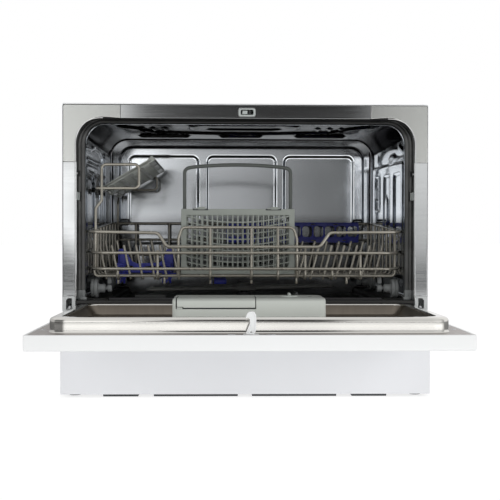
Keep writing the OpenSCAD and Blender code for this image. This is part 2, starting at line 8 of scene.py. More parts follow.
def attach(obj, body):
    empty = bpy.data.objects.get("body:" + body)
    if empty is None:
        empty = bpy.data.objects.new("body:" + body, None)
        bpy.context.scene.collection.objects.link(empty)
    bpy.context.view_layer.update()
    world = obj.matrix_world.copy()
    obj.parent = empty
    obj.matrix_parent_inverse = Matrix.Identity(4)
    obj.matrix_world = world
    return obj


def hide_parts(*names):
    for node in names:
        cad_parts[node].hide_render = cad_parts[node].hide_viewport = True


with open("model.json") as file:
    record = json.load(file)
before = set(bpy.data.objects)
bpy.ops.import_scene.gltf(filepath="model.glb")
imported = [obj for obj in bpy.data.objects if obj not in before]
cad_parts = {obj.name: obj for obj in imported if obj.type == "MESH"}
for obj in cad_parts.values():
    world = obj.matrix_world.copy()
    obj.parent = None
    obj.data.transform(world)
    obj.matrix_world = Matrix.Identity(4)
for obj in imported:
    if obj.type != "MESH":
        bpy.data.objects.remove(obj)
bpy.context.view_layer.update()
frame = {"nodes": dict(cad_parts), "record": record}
NODES = frame["nodes"]
YC = 98.0            # the row frame's origin lies 98 mm behind the cabinet's front plane

# ------------------------------------------------------------------ mesh kit (all numbers in mm)

class Geo:
    """Collects vertices and faces in mm, measured from the cabinet's front plane."""
    def __init__(s):
        s.v, s.f, s.m, s.n = [], [], [], 0

    def add(s, V, F, mat=0):
        V = np.asarray(V, float).reshape(-1, 3)
        b = s.n
        s.v.append(V); s.n += len(V)
        s.f += [tuple(int(b + i) for i in f) for f in F]
        s.m += [mat] * len(F)
        return s

    def xform(s, fn):
        s.v = [fn(V) for V in s.v]
        return s

    def obj(s, name, mats, body, rep=(), slot=None, sharp=35, recalc=True, solid=0.0, bevel=0.0):
        V = np.concatenate(s.v) / 1000.0
        V[:, 1] -= YC / 1000.0
        me = bpy.data.meshes.new(name)
        me.from_pydata(V.tolist(), [], s.f)
        mats = mats if isinstance(mats, (list, tuple)) else [mats]
        for m in mats:
            me.materials.append(m)
        me.polygons.foreach_set("material_index", s.m)
        me.update()
        if recalc:
            bm = bmesh.new(); bm.from_mesh(me)
            bmesh.ops.recalc_face_normals(bm, faces=bm.faces)
            bm.to_mesh(me); bm.free()
        me.polygons.foreach_set("use_smooth", [True] * len(me.polygons))
        me.set_sharp_from_angle(angle=radians(sharp))
        o = bpy.data.objects.new(name, me)
        bpy.context.scene.collection.objects.link(o)
        if bevel:
            b = o.modifiers.new("edge", "BEVEL"); b.width = bevel / 1000; b.segments = 2
            b.limit_method = "ANGLE"; b.angle_limit = radians(40); b.harden_normals = False
        if solid:
            d = o.modifiers.new("sheet", "SOLIDIFY"); d.thickness = abs(solid) / 1000
            d.offset = -1 if solid > 0 else 1
        if body:
            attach(o, body)
        if rep:
            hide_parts(*([rep] if isinstance(rep, str) else rep))
        return o


def unit(v):
    v = np.asarray(v, float)
    return v / max(1e-12, np.linalg.norm(v))


def path_round(pts, R, seg=7, closed=False):
    """the polyline with each corner turned into an arc"""
    pts = [np.array(p, float) for p in pts]; N = len(pts)
    Rs = list(R) if hasattr(R, "__len__") else [R] * N
    out = []
    for i in range(N):
        p = pts[i]
        if not closed and i in (0, N - 1):
            out.append(p); continue
        a, b = pts[i - 1], pts[(i + 1) % N]
        lu, lv = np.linalg.norm(p - a), np.linalg.norm(b - p)
        u, v = (p - a) / lu, (b - p) / lv
        c = float(np.clip(u @ v, -1, 1)); th = math.acos(c)
        if th < 2e-3 or Rs[i] <= 0:
            out.append(p); continue
        r = min(Rs[i], 0.499 * min(lu, lv) / math.tan(th / 2))
        n = unit(v - c * u)
        C = p - r * math.tan(th / 2) * u + r * n
        k = max(2, int(math.ceil(th / (pi / 2) * seg)))
        for j in range(k + 1):
            t = th * j / k
            out.append(C + r * (-n * cos(t) + u * sin(t)))
    return np.array(out)


def resample(P, step):
    """long straight stretches of a polyline are cut up to the step"""
    out = [P[0]]
    for a, b in zip(P[:-1], P[1:]):
        k = max(1, int(math.ceil(np.linalg.norm(b - a) / step)))
        for j in range(1, k + 1):
            out.append(a + (b - a) * j / k)
    return np.array(out)


def frames(P, closed=False, up=None):
    n = len(P)
    T = np.zeros((n, 3))
    for i in range(n):
        if closed:
            T[i] = unit(P[(i + 1) % n] - P[i - 1])
        else:
            a = P[max(i - 1, 0)]; b = P[min(i + 1, n - 1)]
            if 0 < i < n - 1:
                T[i] = unit(unit(P[i] - a) + unit(b - P[i]))
            else:
                T[i] = unit(b - a)
    if up is not None:
        B = np.array([unit(np.array(up, float) - (np.array(up, float) @ t) * t) for t in T])
        A = np.cross(B, T)
        return T, A, B
    ref = np.array([0, 0, 1.0]) if abs(T[0][2]) < 0.9 else np.array([1.0, 0, 0])
    A = [unit(np.cross(T[0], ref))]
    for i in range(1, n):
        a = A[-1] - (A[-1] @ T[i]) * T[i]
        A.append(unit(a))
    A = np.array(A)
    return T, A, np.cross(T, A)


def tube(g, pts, d, R=8, sides=10, seg=6, closed=False, mat=0):
    """round bent wire with domed ends"""
    P = path_round(pts, R, seg, closed)
    keep = [0] + [i for i in range(1, len(P)) if np.linalg.norm(P[i] - P[i - 1]) > 1e-4]
    P = P[keep]
    if closed and np.linalg.norm(P[0] - P[-1]) < 1e-4:
        P = P[:-1]
    r = d / 2
    rad = np.full(len(P), r)
    if not closed:
        u0, u1 = unit(P[1] - P[0]), unit(P[-2] - P[-1])
        P = np.vstack([P[0], P[0] + u0 * 0.10 * d, P[0] + u0 * 0.32 * d, P[1:-1],
                       P[-1] + u1 * 0.32 * d, P[-1] + u1 * 0.10 * d, P[-1]])
        rad = np.full(len(P), r)
        rad[0] = rad[-1] = 0.45 * r; rad[1] = rad[-2] = 0.82 * r
    T, A, B = frames(P, closed)
    n = len(P)
    an = np.arange(sides) * 2 * pi / sides
    V = (P[:, None, :] + rad[:, None, None] * (np.cos(an)[None, :, None] * A[:, None, :] + np.sin(an)[None, :, None] * B[:, None, :])).reshape(-1, 3)
    F = []
    m = n if closed else n - 1
    for i in range(m):
        a, b = i * sides, ((i + 1) % n) * sides
        for j in range(sides):
            k = (j + 1) % sides
            F.append((a + j, a + k, b + k, b + j))
    if not closed:
        F.append(tuple(range(sides - 1, -1, -1)))
        F.append(tuple((n - 1) * sides + j for j in range(sides)))
    g.add(V, F, mat)


def sweep(g, pts, prof, up=(0, 1, 0), R=0, seg=6, closed=False, mat=0, scale=None):
    """flat section prof (side, up) carried along a path"""
    P = path_round(pts, R, seg, closed) if R else np.array(pts, float)
    if closed and np.linalg.norm(P[0] - P[-1]) < 1e-4:
        P = P[:-1]
    T, A, B = frames(P, closed, up)
    prof = np.array(prof, float); k = len(prof); n = len(P)
    sc = np.ones((n, 2)) if scale is None else np.array(scale, float)
    # keep the width through bends
    V = (P[:, None, :] + (prof[None, :, 0] * sc[:, 0:1])[:, :, None] * A[:, None, :] + (prof[None, :, 1] * sc[:, 1:2])[:, :, None] * B[:, None, :]).reshape(-1, 3)
    F = []
    for i in range(n if closed else n - 1):
        a, b = i * k, ((i + 1) % n) * k
        for j in range(k):
            q = (j + 1) % k
            F.append((a + j, a + q, b + q, b + j))
    if not closed:
        F.append(tuple(range(k - 1, -1, -1)))
        F.append(tuple((n - 1) * k + j for j in range(k)))
    g.add(V, F, mat)


def rsec(w, h, r=0.5, n=3):
    """rounded rectangular section"""
    out = []
    for cx, cy, a0 in ((w / 2 - r, h / 2 - r, 0), (-w / 2 + r, h / 2 - r, 90), (-w / 2 + r, -h / 2 + r, 180), (w / 2 - r, -h / 2 + r, 270)):
        for j in range(n + 1):
            a = radians(a0 + 90 * j / n)
            out.append((cx + r * cos(a), cy + r * sin(a)))
    return out


def rrect(x0, y0, x1, y1, r, n=6):
    """rounded rectangle, counter-clockwise; r is one radius or four (x1y1, x0y1, x0y0, x1y0)"""
    r = list(r) if hasattr(r, "__len__") else [r] * 4
    out = []
    for (cx, cy, sx, sy, a0), q in zip(((x1, y1, -1, -1, 0), (x0, y1, 1, -1, 90), (x0, y0, 1, 1, 180), (x1, y0, -1, 1, 270)), r):
        q = max(q, 1e-3)
        for j in range(n + 1):
            a = radians(a0 + 90 * j / n)
            out.append((cx + sx * q + q * cos(a), cy + sy * q + q * sin(a)))
    return np.array(out)


def circ(cx, cy, r, n=32):
    a = np.arange(n) * 2 * pi / n
    return np.stack([cx + r * np.cos(a), cy + r * np.sin(a)], 1)


def area2(L):
    x, y = L[:, 0], L[:, 1]
    return 0.5 * float(np.sum(x * np.roll(y, -1) - np.roll(x, -1) * y))


def clean(L):
    L = np.asarray(L, float)
    keep = [i for i in range(len(L)) if np.linalg.norm(L[i] - L[i - 1]) > 1e-3]
    return L[keep]


def inset(L, d):
    """the closed loop moved to its left by d"""
    p = L - np.roll(L, 1, 0); q = np.roll(L, -1, 0) - L
    p /= np.linalg.norm(p, axis=1)[:, None]; q /= np.linalg.norm(q, axis=1)[:, None]
    n1 = np.stack([-p[:, 1], p[:, 0]], 1); n2 = np.stack([-q[:, 1], q[:, 0]], 1)
    den = np.maximum(1 + (n1 * n2).sum(1), 0.35)
    return L + d * (n1 + n2) / den[:, None]


XZ = lambda u, v, w: np.stack([u, w, v], 1)
XY = lambda u, v, w: np.stack([u, v, w], 1)
YZ = lambda u, v, w: np.stack([w, u, v], 1)


def plate(g, outer, holes, w0, w1, bev=0.4, to=XZ, seg=2, mat=0):
    """flat plate with holes and rounded edges, from depth w0 to w1"""
    loops = []
    for i, L in enumerate([outer] + list(holes)):
        L = clean(L)
        a = area2(L)
        if (i == 0) != (a > 0):
            L = L[::-1]
        loops.append(L)
    bev = min(bev, 0.49 * (w1 - w0))
    ring = [(bev * (1 - sin(pi / 2 * j / seg)), w0 + bev * (1 - cos(pi / 2 * j / seg))) for j in range(seg + 1)]
    ring += [(a, w0 + w1 - b) for a, b in reversed(ring)]
    for L in loops:
        k = len(L); V = []
        for d, w in ring:
            Q = inset(L, d)
            V.append(to(Q[:, 0], Q[:, 1], np.full(k, w)))
        F = []
        for i in range(len(ring) - 1):
            for j in range(k):
                q = (j + 1) % k
                F.append((i * k + j, i * k + q, (i + 1) * k + q, (i + 1) * k + j))
        g.add(np.concatenate(V), F, mat)
    ins = [inset(L, bev) for L in loops]
    tri = geometry.tessellate_polygon([[Vector((p[0], p[1], 0)) for p in L] for L in ins])
    A = np.concatenate(ins)
    for w in (w0, w1):
        g.add(to(A[:, 0], A[:, 1], np.full(len(A), w)), [tuple(t) for t in tri], mat)


def weld(g, eps=1e-3):
    """joins vertices that lie in one place"""
    V = np.concatenate(g.v)
    key = np.round(V / eps).astype(np.int64)
    _, first, inv = np.unique(key, axis=0, return_index=True, return_inverse=True)
    inv = inv.reshape(-1)
    g.v = [V[first]]; g.n = len(first)
    F, M = [], []
    for f, m in zip(g.f, g.m):
        q = []
        for i in f:
            j = int(inv[i])
            if not q or q[-1] != j:
                q.append(j)
        if len(q) > 1 and q[0] == q[-1]:
            q.pop()
        if len(q) >= 3 and len(set(q)) == len(q):
            F.append(tuple(q)); M.append(m)
    g.f, g.m = F, M
    return g


def loft(g, rings, cap0=True, cap1=True, mat=0):
    """rings of one count of points each, joined; the caps are flat"""
    k = len(rings[0])
    V = np.concatenate(rings)
    F = []
    for i in range(len(rings) - 1):
        for j in range(k):
            q = (j + 1) % k
            F.append((i * k + j, i * k + q, (i + 1) * k + q, (i + 1) * k + j))
    if cap0:
        F.append(tuple(range(k - 1, -1, -1)))
    if cap1:
        F.append(tuple((len(rings) - 1) * k + j for j in range(k)))
    g.add(V, F, mat)


def ring3(L, z, to=XY):
    L = np.asarray(L, float)
    return to(L[:, 0], L[:, 1], np.full(len(L), z))


def rblock(g, a, b, r=0.6, seg=2, mat=0, corner=None):
    """block with every edge rounded, from corner a to corner b"""
    a, b = np.minimum(a, b).astype(float), np.maximum(a, b).astype(float)
    r = min(r, 0.49 * float((b - a).min()))
    c = corner if corner is not None else r
    c = max(c, r)
    rings = []
    st = [(r * (1 - sin(pi / 2 * j / seg)), r * (1 - cos(pi / 2 * j / seg))) for j in range(seg + 1)]
    for d, h in st:
        rings.append(ring3(rrect(a[0] + d, a[1] + d, b[0] - d, b[1] - d, max(c - d, 0.02), 3), a[2] + h))
    for d, h in reversed(st):
        rings.append(ring3(rrect(a[0] + d, a[1] + d, b[0] - d, b[1] - d, max(c - d, 0.02), 3), b[2] - h))
    loft(g, rings, mat=mat)


def lathe(g, prof, origin, axis="z", n=36, mat=0, closed=True):
    """profile of (radius, height) turned round an axis"""
    prof = np.array(prof, float); k = len(prof)
    an = np.arange(n) * 2 * pi / n
    V = np.zeros((n, k, 3))
    c, s = np.cos(an)[:, None], np.sin(an)[:, None]
    r, h = prof[None, :, 0], prof[None, :, 1] + np.zeros((n, 1))
    if axis == "z": V[..., 0], V[..., 1], V[..., 2] = r * c, r * s, h
    if axis == "x": V[..., 1], V[..., 2], V[..., 0] = r * c, r * s, h
    if axis == "y": V[..., 2], V[..., 0], V[..., 1] = r * c, r * s, h
    V += np.array(origin, float)
    F = []
    for i in range(n):
        a, b = i * k, ((i + 1) % n) * k
        for j in range(k - (0 if closed else 1)):
            q = (j + 1) % k
            f = [a + j, b + j, b + q, a + q]
            F.append(tuple(f))
    sub = Geo().add(V.reshape(-1, 3), F)
    weld(sub, 1e-4)
    g.add(sub.v[0], sub.f, mat)


def smooth(x):
    x = np.clip(x, 0, 1)
    return x * x * (3 - 2 * x)


def sd_rr(x, y, x0, y0, x1, y1, r):
    """signed distance to a rounded rectangle, below zero inside"""
    cx, cy = (x0 + x1) / 2, (y0 + y1) / 2
    qx = np.abs(x - cx) - (x1 - x0) / 2 + r
    qy = np.abs(y - cy) - (y1 - y0) / 2 + r
    return np.hypot(np.maximum(qx, 0), np.maximum(qy, 0)) + np.minimum(np.maximum(qx, qy), 0) - r


def sd_line(x, y, pts):
    """distance to a polyline"""
    d = np.full(np.broadcast(x, y).shape, 1e9)
    for (ax, ay), (bx, by) in zip(pts[:-1], pts[1:]):
        vx, vy = bx - ax, by - ay
        t = np.clip(((x - ax) * vx + (y - ay) * vy) / (vx * vx + vy * vy + 1e-9), 0, 1)
        d = np.minimum(d, np.hypot(x - ax - t * vx, y - ay - t * vy))
    return d


def raised(sd, w):
    """1 inside, 0 outside, smooth over the width w"""
    return smooth(0.5 - sd / w)


def grid(g, V, mat=0, keep=None):
    """V is an (n, m, 3) net of points"""
    n, m = V.shape[:2]
    idx = np.arange(n * m).reshape(n, m)
    q = np.stack([idx[:-1, :-1], idx[1:, :-1], idx[1:, 1:], idx[:-1, 1:]], -1)
    q = q.reshape(-1, 4) if keep is None else q[keep]
    g.add(V.reshape(-1, 3), q.tolist(), mat)


def cut(o, *cutters):
    """takes the cutters out of an object's mesh and removes them"""
    for c in cutters:
        b = o.modifiers.new("cut", "BOOLEAN"); b.object = c; b.operation = "DIFFERENCE"; b.solver = "EXACT"
    bpy.context.view_layer.update()
    dg = bpy.context.evaluated_depsgraph_get()
    me = bpy.data.meshes.new_from_object(o.evaluated_get(dg), preserve_all_data_layers=True, depsgraph=dg)
    o.modifiers.clear()
    o.data = me
    for c in cutters:
        bpy.data.objects.remove(c)
    return o

# ------------------------------------------------------------------ materials

def socket(n, *names):
    for s in names:
        if s in n.inputs:
            return n.inputs[s]


def finish_of(name, color, rough=0.4, metal=0.0, var=0.05, vscale=14.0, tint=None, rvar=0.06, rscale=22.0,
              bump=0.05, bscale=500.0, wave=0.0, wscale=20.0, stretch=(1, 1, 1), coat=0.0, coat_rough=0.1,
              sheen=0.0, spec=0.5, aniso=0.0, speck=0.0, speck_color=(0.9, 0.9, 0.9), dirt=0.0, sub=0.0):
    """A procedural finish: clouded colour, uneven gloss, fine grain and, for sheet metal, slow waves in the surface."""
    m = bpy.data.materials.new(name); m.use_nodes = True
    nt = m.node_tree; N = nt.nodes; L = nt.links
    for x in list(N):
        N.remove(x)
    out = N.new("ShaderNodeOutputMaterial"); p = N.new("ShaderNodeBsdfPrincipled")
    L.new(p.outputs[0], out.inputs[0])
    tc = N.new("ShaderNodeTexCoord"); mp = N.new("ShaderNodeMapping"); mp.inputs["Scale"].default_value = stretch
    L.new(tc.outputs["Object"], mp.inputs["Vector"])

    def noise(scale, detail=3.0, rough_=0.55, vec=None):
        n = N.new("ShaderNodeTexNoise"); n.inputs["Scale"].default_value = scale
        n.inputs["Detail"].default_value = detail; n.inputs["Roughness"].default_value = rough_
        L.new(vec or mp.outputs[0], n.inputs["Vector"])
        return n.outputs["Fac"] if "Fac" in n.outputs else n.outputs[0]

    c = np.array(color, float); t = np.array(tint if tint is not None else c, float)
    ramp = N.new("ShaderNodeValToRGB")
    e = ramp.color_ramp.elements
    e[0].position, e[1].position = 0.32, 0.70
    e[0].color = (*np.clip(c * (1 - var), 0, 1), 1); e[1].color = (*np.clip(t * (1 + var), 0, 1), 1)
    L.new(noise(vscale, 4.0), ramp.inputs[0])
    col = ramp.outputs[0]
    if speck:
        vo = N.new("ShaderNodeTexVoronoi"); vo.inputs["Scale"].default_value = 900
        L.new(tc.outputs["Object"], vo.inputs["Vector"])
        mr = N.new("ShaderNodeMapRange"); mr.inputs[1].default_value = 0.0; mr.inputs[2].default_value = 0.35
        mr.inputs[3].default_value = speck; mr.inputs[4].default_value = 0.0
        L.new(vo.outputs["Distance"], mr.inputs[0])
        mx = N.new("ShaderNodeMix"); mx.data_type = "RGBA"
        L.new(mr.outputs[0], mx.inputs[0]); L.new(col, mx.inputs[6]); mx.inputs[7].default_value = (*speck_color, 1)
        col = mx.outputs[2]
    if dirt:
        # painted shade: a little darker where the surface folds in
        ao = N.new("ShaderNodeNewGeometry")
        mr = N.new("ShaderNodeMapRange"); mr.inputs[1].default_value = 0.42; mr.inputs[2].default_value = 0.5
        mr.inputs[3].default_value = 1 - dirt; mr.inputs[4].default_value = 1.0
        L.new(ao.outputs["Pointiness"], mr.inputs[0])
        mx = N.new("ShaderNodeMix"); mx.data_type = "RGBA"; mx.blend_type = "MULTIPLY"; mx.inputs[0].default_value = 1.0
        cb = N.new("ShaderNodeCombineColor")
        for i in range(3):
            L.new(mr.outputs[0], cb.inputs[i])
        L.new(col, mx.inputs[6]); L.new(cb.outputs[0], mx.inputs[7])
        col = mx.outputs[2]
    L.new(col, p.inputs["Base Color"])
    mr = N.new("ShaderNodeMapRange"); mr.inputs[1].default_value = 0.3; mr.inputs[2].default_value = 0.7
    mr.inputs[3].default_value = max(0.02, rough - rvar); mr.inputs[4].default_value = min(1.0, rough + rvar)
    L.new(noise(rscale, 5.0, 0.65), mr.inputs[0]); L.new(mr.outputs[0], p.inputs["Roughness"])
    p.inputs["Metallic"].default_value = metal
    normal = None
    if wave:
        b = N.new("ShaderNodeBump"); b.inputs["Strength"].default_value = 1.0; b.inputs["Distance"].default_value = wave / 1000
        L.new(noise(wscale, 1.5, 0.4, tc.outputs["Object"]), b.inputs["Height"]); normal = b.outputs[0]
    if bump:
        b = N.new("ShaderNodeBump"); b.inputs["Strength"].default_value = 1.0; b.inputs["Distance"].default_value = bump / 1000
        L.new(noise(bscale, 3.0, 0.6), b.inputs["Height"])
        if normal is not None:
            L.new(normal, b.inputs["Normal"])
        normal = b.outputs[0]
    if normal is not None:
        L.new(normal, p.inputs["Normal"])
    s = socket(p, "Specular IOR Level", "Specular")
    s.default_value = spec
    if coat:
        socket(p, "Coat Weight").default_value = coat; socket(p, "Coat Roughness").default_value = coat_rough
    if sheen:
        socket(p, "Sheen Weight").default_value = sheen
    if aniso:
        socket(p, "Anisotropic").default_value = aniso
    if sub:
        socket(p, "Subsurface Weight").default_value = sub
        socket(p, "Subsurface Radius").default_value = (1.0, 1.0, 1.0)
        socket(p, "Subsurface Scale").default_value = 0.002
    return m

F_ = finish_of
PAINT = F_("white_paint", (0.84, 0.85, 0.86), 0.34, var=0.012, vscale=3, rvar=0.04, bump=0.012, bscale=420, coat=0.25, coat_rough=0.22)
WPLAST = F_("white_plastic", (0.82, 0.83, 0.83), 0.42, var=0.012, vscale=6, bump=0.006, bscale=1500, spec=0.45)
HOOK = F_("hook_plastic", (0.80, 0.81, 0.81), 0.33, var=0.02, bump=0.01, bscale=900, sub=0.35, coat=0.2)
KEY = F_("key_plastic", (0.62, 0.63, 0.64), 0.36, var=0.02, bump=0.006, bscale=1200, coat=0.2)
ZINC = F_("zinc_sheet", (0.55, 0.56, 0.57), 0.42, metal=1.0, var=0.16, vscale=60, rvar=0.12, rscale=70, bump=0.02, bscale=300)
DARK = F_("dark_plastic", (0.035, 0.037, 0.04), 0.52, var=0.12, bump=0.02, bscale=900)
RUBBER = F_("black_rubber", (0.012, 0.012, 0.013), 0.42, var=0.25, vscale=40, rvar=0.1, bump=0.03, bscale=700, spec=0.4)
GASKET = F_("gasket_rubber", (0.104, 0.105, 0.103), 0.42, var=0.3, vscale=30, rvar=0.1, bump=0.02, bscale=500, spec=0.3)
FRAME = F_("frame_steel", (0.66, 0.675, 0.68), 0.08, metal=1.0, var=0.02, vscale=9, rvar=0.02, rscale=14, bump=0.0006, bscale=200, stretch=(1, 1, 30), wave=0.02, wscale=5)
FRAMEC = F_("corner_steel", (0.70, 0.71, 0.685), 0.20, metal=1.0, var=0.02, vscale=5, rvar=0.03, rscale=8, bump=0.0006, bscale=200, stretch=(20, 1, 1), wave=0.10, wscale=6)
TUB = F_("tub_steel", (0.48, 0.505, 0.54), 0.075, metal=1.0, var=0.03, vscale=7, rvar=0.02, rscale=9, bump=0.0, wave=0.10, wscale=9)
TUBB = F_("tub_back_steel", (0.76, 0.79, 0.82), 0.105, metal=1.0, var=0.02, vscale=4, rvar=0.02, rscale=5, bump=0.0, wave=0.03, wscale=3)
# painted shade: darker copies of the tub steel for the unlit floor and ceiling, with their reflections dimmed by a low
# specular tint
FLOOR_SHADE = F_("tub_floor_steel_shaded", (0.085, 0.085, 0.082), 0.42, metal=1.0, var=0.15, vscale=20, rvar=0.06, bump=0.002, bscale=200, wave=0.05, wscale=8)
CEIL_SHADE = F_("tub_ceiling_steel_shaded", (0.19, 0.19, 0.195), 0.10, metal=1.0, var=0.05, vscale=7, rvar=0.02, rscale=9, bump=0.0, wave=0.08, wscale=9)
for m_, t_ in ((CEIL_SHADE, 0.11), (FLOOR_SHADE, 0.42)):
    q_ = m_.node_tree.nodes["Principled BSDF"].inputs.get("Specular Tint")
    if q_ is not None and q_.type == "RGBA":
        q_.default_value = (t_, t_, t_, 1.0)
LINER = F_("liner_steel", (0.68, 0.665, 0.635), 0.30, metal=1.0, var=0.03, vscale=8, rvar=0.04, rscale=16, bump=0.001, bscale=300, stretch=(12, 1, 1), wave=0.06, wscale=10)
FLANGE = F_("flange_steel", (0.36, 0.325, 0.31), 0.36, metal=1.0, var=0.10, vscale=30, rvar=0.08, rscale=60, bump=0.012, bscale=220, stretch=(5, 1, 1), wave=0.05, wscale=10)
BARE = F_("bare_steel", (0.60, 0.61, 0.62), 0.33, metal=1.0, var=0.10, vscale=50, rvar=0.1, bump=0.01, bscale=500)
# painted shade: these grey plastics darken where their surfaces fold in
GREY = F_("grey_plastic", (0.205, 0.215, 0.215), 0.45, var=0.06, vscale=30, bump=0.01, bscale=900, dirt=0.3)
GREY2 = F_("tray_plastic", (0.29, 0.305, 0.28), 0.38, var=0.07, vscale=25, bump=0.012, bscale=900, dirt=0.3)
GLOSS = F_("black_gloss", (0.008, 0.009, 0.011), 0.08, var=0.1, rvar=0.03, bump=0.0, coat=0.5, coat_rough=0.04)
BOARD = F_("board_green", (0.03, 0.17, 0.08), 0.45, var=0.2, vscale=90, bump=0.03, bscale=400, speck=0.5, speck_color=(0.5, 0.45, 0.2))
DISP = F_("dispenser_plastic", (0.66, 0.695, 0.65), 0.42, var=0.025, vscale=12, bump=0.008, bscale=900, spec=0.45)
DISP2 = F_("cap_plastic", (0.42, 0.45, 0.42), 0.40, var=0.04, bump=0.008, bscale=900)
RACK = F_("rack_coating", (0.36, 0.34, 0.29), 0.24, metal=0.6, var=0.10, vscale=30, rvar=0.06, rscale=40, bump=0.008, bscale=260, coat=0.6, coat_rough=0.12, spec=0.6)
BLUE = F_("blue_plastic", (0.012, 0.020, 0.27), 0.36, var=0.12, vscale=18, bump=0.01, bscale=700, coat=0.15, spec=0.5)
# painted shade: the basket darkens where its surface folds in
BASKET = F_("basket_plastic", (0.262, 0.284, 0.258), 0.42, var=0.05, vscale=24, bump=0.012, bscale=900, dirt=0.25)
SLOTS = {"white_paint": PAINT, "white_plastic": WPLAST, "key_plastic": KEY, "zinc_sheet": ZINC, "dark_plastic": DARK, "black_rubber": RUBBER,
         "frame_steel": FRAME, "tub_steel": TUB, "liner_steel": LINER, "bare_steel": BARE, "grey_plastic": GREY, "black_gloss": GLOSS,
         "board_green": BOARD, "dispenser_plastic": DISP, "rack_coating": RACK, "blue_plastic": BLUE, "basket_plastic": BASKET}

# every CAD node gets its finish, and softened edges
SLOT_OF = {}
for p in frame["record"].get("subparts", []):
    if isinstance(p, dict) and p.get("node") in NODES:
        SLOT_OF[p["node"]] = p.get("material_slot") or p.get("slot") or p.get("material")
for name, o in NODES.items():
    s = SLOT_OF.get(name)
    mat = SLOTS.get(s, GREY)
    o.data.materials.clear(); o.data.materials.append(mat)
    w = o.modifiers.new("weld", "WELD"); w.merge_threshold = 1e-5
    b = o.modifiers.new("edge", "BEVEL"); b.width = 0.0004; b.segments = 2
    b.limit_method = "ANGLE"; b.angle_limit = radians(40)

# ------------------------------------------------------------------ camera, floor and light

